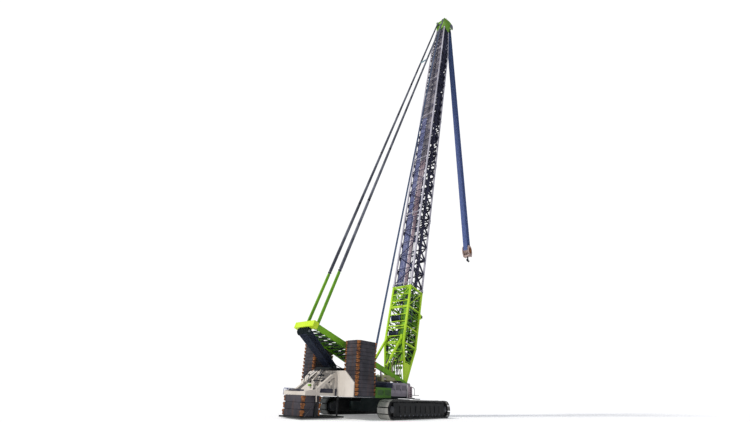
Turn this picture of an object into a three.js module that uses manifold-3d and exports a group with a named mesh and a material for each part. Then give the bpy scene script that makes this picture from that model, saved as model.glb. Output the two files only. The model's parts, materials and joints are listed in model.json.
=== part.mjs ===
// Crawler crane with a lattice boom, as a 1:10 scale model. Millimetres, +Z up.
// The origin is on the ground in the middle of the crane's overall length and width. +X is the way
// the boom points and +Y is the crane's left. Every size below is measured from the slewing axis.

import * as THREE from 'three';
import { mergeVertices } from 'three/addons/utils/BufferGeometryUtils.js';
import Module from 'manifold-3d';

const wasm = await Module();
wasm.setup();

// ---------------------------------------------------------------- driving sizes

const SLEW_TO_MIDDLE = 549; // the slewing axis to the middle of the overall length
const SEAT = 0.3; // gap between two pieces that touch
const RUNNING_GAP = 0.5; // gap between a pin and its bore
const OPEN_PIVOT_GAP = 1.6; // gap at the pivot where the luffing linkage is opened
const WRAP_SEGMENTS = 24; // facets in a half turn that wraps a wheel or sheave

// tracks
const TRACK_LENGTH = 1134;
const TRACK_HEIGHT = 174;
const TRACK_WIDTH = 140;
const TRACK_OFFSET = 416; // slewing axis to the middle of a track
const SHOE_COUNT = 48;
const SHOE_GROOVE = 6;
const SHOE_GROOVE_DEPTH = 4;
const BELT_THICKNESS = 15;
const SIDE_FRAME_WIDTH = 90;
const SIDE_FRAME_PLATE = 12;
const ROLLER_RADIUS = 16;
const ROLLER_COUNT = 11;
const TUMBLER_AXLE_RADIUS = 12;
const FINAL_DRIVE_RADIUS = 48;
const FINAL_DRIVE_LENGTH = 52;

// carbody and slewing ring
const CARBODY_HALF_LENGTH = 200;
const CARBODY_HALF_WIDTH = 190;
const CROSS_BEAM_WIDTH = 110;
const CROSS_BEAM_BOTTOM = 45;
const CROSS_BEAM_TOP = 135;
const RING_RADIUS = 140;
const RING_HEIGHT = 25.4;

// superstructure
const PLATFORM_HEIGHT = 90;
const PLATFORM_HALF_WIDTH = 170;
const PLATFORM_REAR = -640;
const PLATFORM_FRONT = 206;
const FRONT_BLOCK_LENGTH = 166;
const FRONT_BLOCK_PAST_MAST = 27; // the mast's foot to the front block's side
const DECK_THICKNESS = 12;
const DECK_REAR = -390;
const HOUSE_PAST_MAST = 22; // the mast's foot to a house's inner side
const HOUSE_WIDTH = 118;
const HOUSE_HEIGHT = 112;
const HOUSE_LENGTH = 335;
const HOUSE_FRONT = -45;
const HOUSE_WALL = 4;
const ENGINE = { rear: -330, length: 160, setback: 23, width: 70, height: 85 };
const HOIST_WINCH = { x: -300, radius: 45, halfWidth: 95 };
const LUFFING_WINCH = { x: -520, radius: 42, halfWidth: 95 };
const DRUM_FLANGE = { thickness: 6, depth: 8 };
const WINCH_FOOT = { halfLength: 45, top: 16, thickness: 14 };
const SIDE_BOX_REAR = -632;
const SIDE_BOX_LENGTH = 240;
const SIDE_BOX_BOTTOM = 182;
const SIDE_BOX_HEIGHT = 90;
const SIDE_BOX_OUTER_Y = 385;
const RADIATOR_HEIGHT = 55;
const RADIATOR_INSET = 12;

// cab
const CAB_REAR = 60;
const CAB_LENGTH = 190;
const CAB_PAST_MAST = 35; // the mast's foot to the cab's inner side
const CAB_WIDTH = 110;
const CAB_HEIGHT = 208;
const CAB_WALL = 5;
const DOOR_LENGTH = 75;
const DOOR_HEIGHT = 182;
const DOOR_GAP = 0.6;
const DOOR_SETBACK = 15; // cab's rear to the doorway
const DOOR_SILL = 12;
const DOOR_RAIL = 8;
const PANE_BOTTOM = 50; // above the cab's floor
const PANE_TOP = 16; // below the cab's roof
const PILLAR = 12; // at the cab's corners, beside the side windows
const FRONT_PILLAR = 8;
const REAR_PILLAR = 20;
const REAR_PANE_RISE = 25;
const SIDE_PANE_SETBACK = 40;
const SEAT_SETBACK = 45;
const SEAT_PEDESTAL = { start: 10, end: 42, halfWidth: 14, top: 42 };
const SEAT_CUSHION = { length: 52, halfWidth: 26, bottom: 40, top: 54 };
const SEAT_BACK = { rear: -4, front: 8, halfWidth: 24, top: 120 };

// boom, measured along its own axis from the foot pin
const BOOM_FOOT = { x: 172, height: 31 }; // height above the platform
const BOOM_ELEVATION = 77.15; // degrees above the ground at rest
const BOOM_WIDTH = 300;
const BOOM_DEPTH = 280;
const CHORD = 20;
const LACING = 9;
const BUTT_LENGTH = 1200;
const BUTT_SHOULDER = 450; // where the butt reaches its full depth
const BUTT_BATTENS = [650, 910]; // the battens between the shoulder's and the top's
const BUTT_BATTEN = 14;
const BUTT_PLATE = { length: 230, halfDepth: 84, halfFoot: 24, inset: 6 };
const BUTT_TIE = { length: 20, halfDepth: 6 };
const SECTION_LENGTH = 1200;
const SECTION_COUNT = 5;
const SECTION_BAYS = 5;
const TAPER_LENGTH = 1050;
const HEAD_LENGTH = 610;
const HEAD_WIDTH = 230;
const HEAD_DEPTH = 210;
const HEAD_PLATE = 14;
const HEAD_GAP = 96; // middle plane to a head plate
const FOOT_LUG_WIDTH = 24;
const FOOT_PIN_RADIUS = 10;
const LUG_RADIUS = 26;
const FORK_LUG = 14; // thickness of a fork's plate
const FORK_FLARE = 6;
const MAST_LUG_RADIUS = 18;
const SHEAVE_RADIUS = 60;
const SHEAVE_COUNT = 4;
const SHEAVE_WIDTH = 14;
const SHEAVE_PITCH = 22;
const HEAD_AXLE = { beforeEnd: 160, rear: -235, radius: 12 };
const HEAD_COLLAR = 30; // the head's full-width foot
const HEAD_BACK = 240; // the boom's end to the top of the head's rear plate
// the side plates' nose round the sheaves, measured from the sheaves' axle
const HEAD_NOSE = [[-60, 85], [-42, -26], [24, -34], [160, 1]];
// the crown over the sheaves, as [along, rear], measured from the boom's end
const HEAD_CROWN = [[-48, -84], [-135, 32], [-220, 118]];
const PENDANT_EAR = { halfLength: 34, past: 18 };
const WINCH_PLACES = [575, 780];
const STOP_OFFSET = 112; // middle plane to a boom stop
const STOP_SEAT_X = -130;
const STOP_SEAT = { halfBase: 60, halfTop: 22, halfWidth: 14, height: 110 };
// the boom stop's points, along the boom and to its rear
const STOP_HEAD = [500, 139];
const STOP_MIDDLE = [200, 292];
const STOP_ROD_END = [110, 338];
const STOP_TIP = [102, 342];
const STOP_TUBE = 22;
const STOP_ROD = 13;
const STOP_PAD = 30;
const STOP_BRACKET = [[472, 118], [530, 118], [530, 160], [472, 160]];
const WINCH_RADIUS = 52;
const WINCH_REAR = 50; // the drums' axis, to the boom's rear
const WINCH_PLATE = { front: 20, rear: 138, halfBase: 40, halfTop: 25, thickness: 10 };

// mast and pendants
const MAST_FOOT = { x: 150, height: 20, pastBoom: 50 }; // above the platform, outside the boom's foot
const MAST_HEAD = { x: -1183, height: 470 }; // the pendants' pins, above the platform
const MAST_HEAD_OFFSET = 110; // middle plane to the middle of a leg, at the head
const MAST_FOOT_LENGTH = 90; // the straight part, before the legs run together
const MAST_TIE = { along: 985, length: 35, depth: 28 };
const MAST_LEG_WIDTH = 24;
const MAST_LEG_DEPTH = 50;
const CROSSBEAM_LENGTH = 62;
const MAST_SET = { height: 40, reach: 62, halfFoot: 28 }; // the sheave set under the crossbeam
const CROSSBEAM_HALF_WIDTH = 140;
const CROSSBEAM_DEPTH = 56;
const CROSSBEAM_GAP = 28; // the pendants' pins to the crossbeam
const CROSSBEAM_LUG = { thickness: 12, radius: 18 };
const PENDANT_OFFSET = 80;
const PENDANT_THICKNESS = 10;
const PENDANT_DEPTH = 22;
const PENDANT_PIN_RADIUS = 8;
const PIN_OVERHANG = 9; // the pendants' middle to their pins' ends
const PENDANT_PIN = { beforeEnd: 300, rear: 140 };
const SPREADER_SHARE = 0.72;

// hoist falls and hook
const FALLS_HALF_WIDTH = 42;
const FALLS_THICKNESS = 5;
const HOOK_AXLE_HEIGHT = 2640;
const HOOK_SHANK_RADIUS = 10;
const CROSSHEAD = { halfLength: 34, halfWidth: 55, height: 28, drop: 24 }; // drop is below the sheaves
const HORN_DROP = 68; // the crosshead to the horns' middle
const HORN = { radius: 22, bar: 9, steps: 10, turn: 1.15 * Math.PI };
const HOOK_NUT = { radius: 16, height: 16 };
const HOOK_BODY_RADIUS = 13;
const CHEEK = { inner: 50, outer: 64, past: 12, halfSide: 40, above: 32, below: 4 };
const CHEEK_END = { halfTop: 40, halfFoot: 44 };

// counterweights and rear frame
const REAR_BOTTOM = 183;
const REAR_FRAME_REAR = -912;
const REAR_FRAME_TOP = 400;
const REAR_FRAME_TOP_FRONT = -830;
const REAR_FRAME_HALF_WIDTH = 150;
const REAR_FRAME_STEP = { height: 10, length: 30 }; // its foot's top, behind the platform
const WING_THICKNESS = 12;
const WING_HALF_WIDTH = 370;
const WING_SHOULDER = { y: 250, z: 300 }; // where the wings' cut corners start and end
const ARM_REAR = -1290;
const ARM_THICKNESS = 30;
const ARM_TOP = { x: -960, z: 378 };
const ARM_KNEE = { x: -1165, z: 236 };
const ARM_REAR_TOP = 213;
const ARM_WINDOW = [[-1125, 207], [-950, 207], [-950, 338], [-968, 338], [-1118, 236]];
const CROSS_SILL = 40;
const STACK_REAR = -910;
const LUFFING_SET = { x: -870, height: 38, reach: 40, halfFoot: 34 };
const ROPE_SHEAVE = { radius: 30, axle: 7, halfThickness: 5, plate: 10 };
const STACK_LENGTH = 268;
const STACK_INNER_Y = 214;
const STACK_WIDTH = 181;
const SLAB_CORNER = 30; // how far the slabs' upright corners are cut back
const CARRIER_THICKNESS = 10;
const SLAB_COUNT = 14;
const SLAB_THICKNESS = 34;
const SLAB_GROOVE = 4;
const LOW_STACK_REAR = -1296;
const LOW_STACK_LENGTH = 216;
const LOW_STACK_HALF_WIDTH = 137;
const LOW_TRAY_BOTTOM = 8;
const LOW_TRAY_THICKNESS = 12;
const LOW_TRAY_FRONT = -800;
const LOW_TRAY_LIP = 14; // the tray behind its slabs
const HANGER = { x: -1150, width: 26, thickness: 10 };
const TRAY_POST = { x: -880, radius: 9 };
const LOW_SLAB_COUNT = 3;

// ---------------------------------------------------------------- finishes

const FINISHES = {
  green: { color: 0x8fc32a, roughness: 0.45, metalness: 0.1 },
  darkGreen: { color: 0x4e8424, roughness: 0.5, metalness: 0.1 },
  silver: { color: 0xb9b7c3, roughness: 0.5, metalness: 0.3 },
  beige: { color: 0xd6cdbf, roughness: 0.6, metalness: 0.05 },
  lilac: { color: 0x8c8792, roughness: 0.55, metalness: 0.1 },
  slab: { color: 0x4a4548, roughness: 0.8, metalness: 0.2 },
  black: { color: 0x1d1f20, roughness: 0.7, metalness: 0.3 },
  shoe: { color: 0x6d6c68, roughness: 0.6, metalness: 0.6 },
  steel: { color: 0x5f6572, roughness: 0.4, metalness: 0.8 },
  rope: { color: 0x4a5570, roughness: 0.6, metalness: 0.6 },
  seat: { color: 0x26282b, roughness: 0.9, metalness: 0 },
};

// ---------------------------------------------------------------- shape helpers

/** A closed geometry as a manifold solid. */
function solid(geometry) {
  const flat = geometry.index ? geometry.toNonIndexed() : geometry.clone();
  flat.deleteAttribute('normal');
  flat.deleteAttribute('uv');
  const merged = mergeVertices(flat, 1e-4);
  return new wasm.Manifold(
    new wasm.Mesh({
      numProp: 3,
      vertProperties: new Float32Array(merged.attributes.position.array),
      triVerts: new Uint32Array(merged.index.array),
    })
  );
}

/** The union of some geometries, less some others, as one geometry. */
function combine(added, removed = []) {
  let result = added.map(solid).reduce((whole, piece) => whole.add(piece));
  for (const piece of removed) {
    result = result.subtract(solid(piece));
  }
  const mesh = result.getMesh();
  const geometry = new THREE.BufferGeometry();
  geometry.setAttribute('position', new THREE.BufferAttribute(mesh.vertProperties, 3));
  geometry.setIndex(new THREE.BufferAttribute(mesh.triVerts, 1));
  geometry.computeVertexNormals();
  return geometry;
}

/** A box between two corners, each [x, y, z]. */
function block(low, high) {
  const size = high.map((value, axis) => value - low[axis]);
  const middle = high.map((value, axis) => (value + low[axis]) / 2);
  return new THREE.BoxGeometry(...size).translate(...middle);
}

/** A side outline of [x, z] points, drawn out from y = low to y = high. */
function plate(outline, low, high) {
  const shape = new THREE.Shape(outline.map(([x, z]) => new THREE.Vector2(x, z)));
  return extrudeAcross(shape, low, high);
}

/** A rear outline of [y, z] points, drawn out from x = low to x = high. */
function plateBehind(outline, low, high) {
  const shape = new THREE.Shape(outline.map(([y, z]) => new THREE.Vector2(y, z)));
  const geometry = new THREE.ExtrudeGeometry(shape, { depth: high - low, bevelEnabled: false });
  const turn = new THREE.Matrix4().makeBasis(
    new THREE.Vector3(0, 1, 0), new THREE.Vector3(0, 0, 1), new THREE.Vector3(1, 0, 0)
  );
  return geometry.applyMatrix4(turn).translate(low, 0, 0);
}

/** A shape in X and Z, drawn out from y = low to y = high, with facets for each arc. */
function extrudeAcross(shape, low, high, curveSegments = 8) {
  const geometry = new THREE.ExtrudeGeometry(shape, {
    depth: high - low,
    bevelEnabled: false,
    curveSegments,
  });
  return geometry.rotateX(Math.PI / 2).translate(0, high, 0);
}

/** A round bar along Y between two y values, about the line through x and z. */
function barY(radius, low, high, x, z, segments = 16) {
  const bar = new THREE.CylinderGeometry(radius, radius, high - low, segments);
  return bar.translate(x, (low + high) / 2, z);
}

/** A round bar along Z between two z values, about the line through x and y. */
function barZ(radius, low, high, x, y, segments = 24) {
  const bar = new THREE.CylinderGeometry(radius, radius, high - low, segments);
  return bar.rotateX(Math.PI / 2).translate(x, y, (low + high) / 2);
}

/** A square bar of the given thickness from point a to point b, each [x, y, z]. */
function member(a, b, thickness) {
  const start = new THREE.Vector3(...a);
  const end = new THREE.Vector3(...b);
  const along = end.clone().sub(start);
  const length = along.length();
  along.normalize();
  const side = new THREE.Vector3(0, 1, 0);
  if (Math.abs(along.y) > 0.95) {
    side.set(0, 0, 1);
  }
  const up = along.clone().cross(side).normalize();
  side.crossVectors(up, along).normalize();
  const turn = new THREE.Matrix4().makeBasis(along, side, up);
  const middle = start.add(end).multiplyScalar(0.5);
  const bar = new THREE.BoxGeometry(length, thickness, thickness);
  return bar.applyMatrix4(turn).translate(middle.x, middle.y, middle.z);
}

/** The four corners of a boom's cross-section at one place, as [along, y, rear]. */
function corners(along, width, depth) {
  const y = (width - CHORD) / 2;
  const z = (depth - CHORD) / 2;
  return [[along, -y, -z], [along, y, -z], [along, y, z], [along, -y, z]];
}

const group = new THREE.Group();
group.position.x = -SLEW_TO_MIDDLE;

/** Adds one named piece to its parent group. */
function add(name, geometry, finish, parent = group) {
  const mesh = new THREE.Mesh(geometry, new THREE.MeshStandardMaterial(FINISHES[finish]));
  mesh.name = name;
  parent.add(mesh);
}

// ---------------------------------------------------------------- undercarriage

const trackRadius = TRACK_HEIGHT / 2;
const tumblerX = TRACK_LENGTH / 2 - trackRadius;
const beltInside = trackRadius - BELT_THICKNESS;

/** The point a distance along a track's outside, measured from the bottom's front end. */
function trackPoint(distance) {
  const straight = 2 * tumblerX;
  const bend = Math.PI * trackRadius;
  let rest = distance % (2 * (straight + bend));
  if (rest < bend) {
    const angle = -Math.PI / 2 + rest / trackRadius;
    return [tumblerX + trackRadius * Math.cos(angle), trackRadius * Math.sin(angle)];
  }
  rest -= bend;
  if (rest < straight) {
    return [tumblerX - rest, trackRadius];
  }
  rest -= straight;
  if (rest < bend) {
    const angle = Math.PI / 2 + rest / trackRadius;
    return [-tumblerX + trackRadius * Math.cos(angle), trackRadius * Math.sin(angle)];
  }
  return [rest - bend - tumblerX, -trackRadius];
}

/** A point moved towards the track's middle line by a depth. */
function inwards([x, z], depth) {
  const centre = THREE.MathUtils.clamp(x, -tumblerX, tumblerX);
  const reach = Math.hypot(x - centre, z);
  const share = (reach - depth) / reach;
  return [centre + (x - centre) * share, z * share];
}

/** A track: the belt as one closed loop, with every shoe in its outline. */
function trackLoop() {
  const around = 4 * tumblerX + 2 * Math.PI * trackRadius;
  const pitch = around / SHOE_COUNT;
  const outline = [];
  for (let shoe = 0; shoe < SHOE_COUNT; shoe++) {
    const start = trackPoint(shoe * pitch + SHOE_GROOVE / 2);
    const end = trackPoint((shoe + 1) * pitch - SHOE_GROOVE / 2);
    outline.push(inwards(start, SHOE_GROOVE_DEPTH), start, end, inwards(end, SHOE_GROOVE_DEPTH));
  }
  const shape = new THREE.Shape(outline.map(([x, z]) => new THREE.Vector2(x, z)));
  const inside = new THREE.Path();
  inside.absarc(tumblerX, 0, beltInside, -Math.PI / 2, Math.PI / 2, false);
  inside.absarc(-tumblerX, 0, beltInside, Math.PI / 2, (3 * Math.PI) / 2, false);
  shape.holes.push(inside);
  return extrudeAcross(shape, -TRACK_WIDTH / 2, TRACK_WIDTH / 2, WRAP_SEGMENTS);
}

/** A side frame with its rollers, and the plates that carry the two tumblers. */
function sideFrame() {
  const half = SIDE_FRAME_WIDTH / 2;
  const end = tumblerX - trackRadius - 8;
  const rollerZ = -beltInside + SEAT + ROLLER_RADIUS;
  const pieces = [
    block([-end, -half, rollerZ + 4], [end, half, 50]),
    block([-end * 0.6, -20, 49], [end * 0.6, 20, beltInside - SEAT]),
    block([-tumblerX - 40, -half, -25], [tumblerX + 40, SIDE_FRAME_PLATE - half, 25]),
    block([-tumblerX - 40, half - SIDE_FRAME_PLATE, -25], [tumblerX + 40, half, 25]),
  ];
  const pitch = (2 * (end - ROLLER_RADIUS)) / (ROLLER_COUNT - 1);
  for (let roller = 0; roller < ROLLER_COUNT; roller++) {
    const x = -end + ROLLER_RADIUS + roller * pitch;
    pieces.push(barY(ROLLER_RADIUS, -28, 28, x, rollerZ, 12));
  }
  return combine(pieces);
}

/** An end wheel of a track, with the axle that sits in the side frame's plates. */
function tumbler(teeth) {
  const reach = SIDE_FRAME_WIDTH / 2 - SIDE_FRAME_PLATE - SEAT;
  const wheel = barY(beltInside - SEAT, -reach + 3, reach - 3, 0, 0, teeth);
  return combine([wheel, barY(TUMBLER_AXLE_RADIUS, -reach, reach, 0, 0)]);
}

for (const [side, sign] of [['left', 1], ['right', -1]]) {
  const track = new THREE.Group();
  track.position.set(0, sign * TRACK_OFFSET, trackRadius);
  group.add(track);
  add(`track_${side}`, trackLoop(), 'shoe', track);
  add(`track_frame_${side}`, sideFrame(), 'black', track);
  add(`idler_${side}`, tumbler(32).translate(tumblerX, 0, 0), 'black', track);
  add(`sprocket_${side}`, tumbler(18).translate(-tumblerX, 0, 0), 'black', track);
  const innerFace = -sign * (SIDE_FRAME_WIDTH / 2 + SEAT);
  const drive = [innerFace, innerFace - sign * FINAL_DRIVE_LENGTH].sort((a, b) => a - b);
  add(`final_drive_${side}`, barY(FINAL_DRIVE_RADIUS, ...drive, -tumblerX, 0), 'black', track);
}

const beamReach = TRACK_OFFSET - SIDE_FRAME_WIDTH / 2 - SEAT;

/** The carbody: a centre box and the two cross beams that carry the side frames. */
function carbody() {
  const inner = CARBODY_HALF_LENGTH - CROSS_BEAM_WIDTH;
  const beams = [-CARBODY_HALF_LENGTH, inner].map((x) =>
    block([x, -beamReach, CROSS_BEAM_BOTTOM], [x + CROSS_BEAM_WIDTH, beamReach, CROSS_BEAM_TOP])
  );
  const centre = block(
    [-CARBODY_HALF_LENGTH, -CARBODY_HALF_WIDTH, CROSS_BEAM_BOTTOM + 15],
    [CARBODY_HALF_LENGTH, CARBODY_HALF_WIDTH, TRACK_HEIGHT]
  );
  return combine([centre, ...beams]);
}

const ringBottom = TRACK_HEIGHT + SEAT;
const platformBottom = ringBottom + RING_HEIGHT + SEAT;
const platformTop = platformBottom + PLATFORM_HEIGHT;
const deckTop = platformBottom + DECK_THICKNESS;
const onDeck = deckTop + SEAT;

add('carbody', carbody(), 'black');
add('slewing_ring', barZ(RING_RADIUS, ringBottom, ringBottom + RING_HEIGHT, 0, 0, 48), 'steel');

// ---------------------------------------------------------------- superstructure

const boomLegY = (BOOM_WIDTH - CHORD) / 2;
const mastFootY = boomLegY + MAST_FOOT.pastBoom;
const houseInnerY = mastFootY + HOUSE_PAST_MAST;
const deckHalfWidth = houseInnerY + HOUSE_WIDTH;
const cabInnerY = mastFootY + CAB_PAST_MAST;
const boomFoot = { x: BOOM_FOOT.x, z: platformTop + BOOM_FOOT.height };
const mastFoot = { x: MAST_FOOT.x, z: platformTop + MAST_FOOT.height };
const mastHead = { x: MAST_HEAD.x, z: platformTop + MAST_HEAD.height };

/** A fork of two lugs with its pin, for a foot whose middle plane is at y. */
function fork(foot, y, width) {
  const lug = FORK_LUG;
  const inner = width / 2 + SEAT;
  const reach = LUG_RADIUS + FORK_FLARE;
  const outline = new THREE.Shape();
  outline.absarc(foot.x, foot.z, LUG_RADIUS, 0, Math.PI, false);
  outline.lineTo(foot.x - reach, platformTop - 5);
  outline.lineTo(foot.x + reach, platformTop - 5);
  return [
    extrudeAcross(outline, y - inner - lug, y - inner),
    extrudeAcross(outline, y + inner, y + inner + lug),
    barY(FOOT_PIN_RADIUS, y - inner - 1, y + inner + 1, foot.x, foot.z),
  ];
}

/** The slewing platform: main box, wide front block, side decks, and the forks on top. */
function platform() {
  const front = PLATFORM_FRONT;
  const block0 = front - FRONT_BLOCK_LENGTH;
  const blockHalf = mastFootY + FRONT_BLOCK_PAST_MAST;
  const seatOutline = [
    [STOP_SEAT_X - STOP_SEAT.halfBase, platformTop - 5],
    [STOP_SEAT_X + STOP_SEAT.halfBase, platformTop - 5],
    [STOP_SEAT_X + STOP_SEAT.halfTop, platformTop + STOP_SEAT.height],
    [STOP_SEAT_X - STOP_SEAT.halfTop, platformTop + STOP_SEAT.height],
  ];
  const pieces = [
    block([PLATFORM_REAR, -PLATFORM_HALF_WIDTH, platformBottom], [front, PLATFORM_HALF_WIDTH, platformTop]),
    block([block0, -blockHalf, platformBottom], [front, blockHalf, platformTop]),
    block([DECK_REAR, -deckHalfWidth, platformBottom], [block0 + 5, deckHalfWidth, deckTop]),
    block([block0, blockHalf - 5, platformBottom], [CAB_REAR + CAB_LENGTH, cabInnerY + CAB_WIDTH, deckTop]),
  ];
  for (const sign of [-1, 1]) {
    pieces.push(...fork(boomFoot, sign * boomLegY, FOOT_LUG_WIDTH));
    pieces.push(...fork(mastFoot, sign * mastFootY, MAST_LEG_WIDTH));
    const middle = sign * STOP_OFFSET;
    pieces.push(plate(seatOutline, middle - STOP_SEAT.halfWidth, middle + STOP_SEAT.halfWidth));
  }
  return combine(pieces);
}

/** A machinery house for the right side: four walls and a roof, open at the deck. */
function house() {
  const rear = HOUSE_FRONT - HOUSE_LENGTH;
  const top = onDeck + HOUSE_HEIGHT;
  const outer = block([rear, -deckHalfWidth, onDeck], [HOUSE_FRONT, -houseInnerY, top]);
  const inner = block(
    [rear + HOUSE_WALL, -deckHalfWidth + HOUSE_WALL, onDeck - 1],
    [HOUSE_FRONT - HOUSE_WALL, -houseInnerY - HOUSE_WALL, top - HOUSE_WALL]
  );
  return combine([outer], [inner]);
}

/** A closed box on the platform's side behind the deck, on the side that sign gives. */
function sideBox(sign) {
  const y = [sign * (PLATFORM_HALF_WIDTH + SEAT), sign * SIDE_BOX_OUTER_Y].sort((a, b) => a - b);
  return block(
    [SIDE_BOX_REAR, y[0], SIDE_BOX_BOTTOM],
    [SIDE_BOX_REAR + SIDE_BOX_LENGTH, y[1], SIDE_BOX_BOTTOM + SIDE_BOX_HEIGHT]
  );
}

/** A rope drum with flanges, between two feet that stand on the platform. */
function deckWinch({ x, radius, halfWidth }) {
  const foot = platformTop + SEAT;
  const { halfLength, top, thickness } = WINCH_FOOT;
  const z = foot + radius + thickness;
  const pieces = [barY(radius - DRUM_FLANGE.depth, -halfWidth, halfWidth, x, z)];
  for (const sign of [-1, 1]) {
    const [a, b] = [sign * (halfWidth - DRUM_FLANGE.thickness), sign * halfWidth].sort((p, q) => p - q);
    pieces.push(barY(radius, a, b, x, z));
    const [c, d] = [sign * (halfWidth - 1), sign * (halfWidth + thickness)].sort((p, q) => p - q);
    pieces.push(plate(
      [[x - halfLength, foot], [x + halfLength, foot], [x + top, z + top], [x - top, z + top]], c, d
    ));
  }
  return combine(pieces);
}

const radiatorBottom = SIDE_BOX_BOTTOM + SIDE_BOX_HEIGHT + SEAT;

add('slew_platform', platform(), 'lilac');
add('engine_house', house(), 'lilac');
const engineInnerY = houseInnerY + ENGINE.setback;
add('engine_block', block(
  [ENGINE.rear, -engineInnerY - ENGINE.width, onDeck],
  [ENGINE.rear + ENGINE.length, -engineInnerY, onDeck + ENGINE.height]
), 'steel');
add('pump_house', block(
  [HOUSE_FRONT - HOUSE_LENGTH, houseInnerY, onDeck],
  [HOUSE_FRONT, deckHalfWidth, onDeck + HOUSE_HEIGHT]
), 'lilac');
add('side_box_right', sideBox(-1), 'darkGreen');
add('side_box_left', sideBox(1), 'darkGreen');
add('radiator_box', block(
  [SIDE_BOX_REAR + RADIATOR_INSET, -deckHalfWidth, radiatorBottom],
  [SIDE_BOX_REAR + SIDE_BOX_LENGTH - RADIATOR_INSET, -houseInnerY, radiatorBottom + RADIATOR_HEIGHT]
), 'black');
add('hoist_winch', deckWinch(HOIST_WINCH), 'steel');
add('luffing_winch', deckWinch(LUFFING_WINCH), 'steel');

// cab
const cabFloor = onDeck;
const cabTop = cabFloor + CAB_HEIGHT;
const cabFront = CAB_REAR + CAB_LENGTH;
const cabOuterY = cabInnerY + CAB_WIDTH;
const doorRear = CAB_REAR + DOOR_SETBACK;
const doorBottom = cabFloor + DOOR_SILL;
const paneBottom = cabFloor + PANE_BOTTOM;
const paneTop = cabTop - PANE_TOP;

/** The cab's shell: floor, roof and walls, with the windows and the doorway cut through. */
function cabShell() {
  const w = CAB_WALL;
  const outer = block([CAB_REAR, cabInnerY, cabFloor], [cabFront, cabOuterY, cabTop]);
  const room = block(
    [CAB_REAR + w, cabInnerY + w, cabFloor + w],
    [cabFront - w, cabOuterY - w, cabTop - w]
  );
  const openings = [
    block(
      [cabFront - 2 * w, cabInnerY + FRONT_PILLAR, paneBottom],
      [cabFront + w, cabOuterY - FRONT_PILLAR, paneTop]
    ),
    block(
      [CAB_REAR + SIDE_PANE_SETBACK, cabInnerY - w, paneBottom],
      [cabFront - PILLAR, cabInnerY + 2 * w, paneTop]
    ),
    block(
      [CAB_REAR - w, cabInnerY + REAR_PILLAR, paneBottom + REAR_PANE_RISE],
      [CAB_REAR + 2 * w, cabOuterY - REAR_PILLAR, paneTop]
    ),
    block(
      [doorRear + DOOR_LENGTH + PILLAR, cabOuterY - 2 * w, paneBottom],
      [cabFront - PILLAR, cabOuterY + w, paneTop]
    ),
    block(
      [doorRear, cabOuterY - 2 * w, doorBottom],
      [doorRear + DOOR_LENGTH, cabOuterY + w, doorBottom + DOOR_HEIGHT]
    ),
  ];
  return combine([outer], [room, ...openings]);
}

/** The cab's door, which fills the doorway but for a gap all round, with its window cut. */
function cabDoor() {
  const low = [doorRear + DOOR_GAP, cabOuterY - CAB_WALL, doorBottom + DOOR_GAP];
  const high = [doorRear + DOOR_LENGTH - DOOR_GAP, cabOuterY, doorBottom + DOOR_HEIGHT - DOOR_GAP];
  const pane = block(
    [low[0] + DOOR_RAIL, low[1] - 1, paneBottom],
    [high[0] - DOOR_RAIL, high[1] + 1, high[2] - DOOR_RAIL]
  );
  return combine([block(low, high)], [pane]);
}

/** The operator's seat on its pedestal. */
function seat() {
  const x = CAB_REAR + SEAT_SETBACK;
  const y = cabInnerY + CAB_WIDTH / 2;
  const floor = cabFloor + CAB_WALL + SEAT;
  const { start, end, halfWidth: foot, top } = SEAT_PEDESTAL;
  const { length, halfWidth, bottom } = SEAT_CUSHION;
  const { rear, front, halfWidth: shoulder } = SEAT_BACK;
  const cushionTop = floor + SEAT_CUSHION.top;
  return combine([
    block([x + start, y - foot, floor], [x + end, y + foot, floor + top]),
    block([x, y - halfWidth, floor + bottom], [x + length, y + halfWidth, cushionTop]),
    block([x + rear, y - shoulder, cushionTop - 4], [x + front, y + shoulder, floor + SEAT_BACK.top]),
  ]);
}

add('cab_shell', cabShell(), 'beige');
add('cab_door', cabDoor(), 'beige');
add('operator_seat', seat(), 'seat');

// rear frame and counterweights
const carrierTop = REAR_BOTTOM + CARRIER_THICKNESS;
const lowTrayTop = LOW_TRAY_BOTTOM + LOW_TRAY_THICKNESS;

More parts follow.
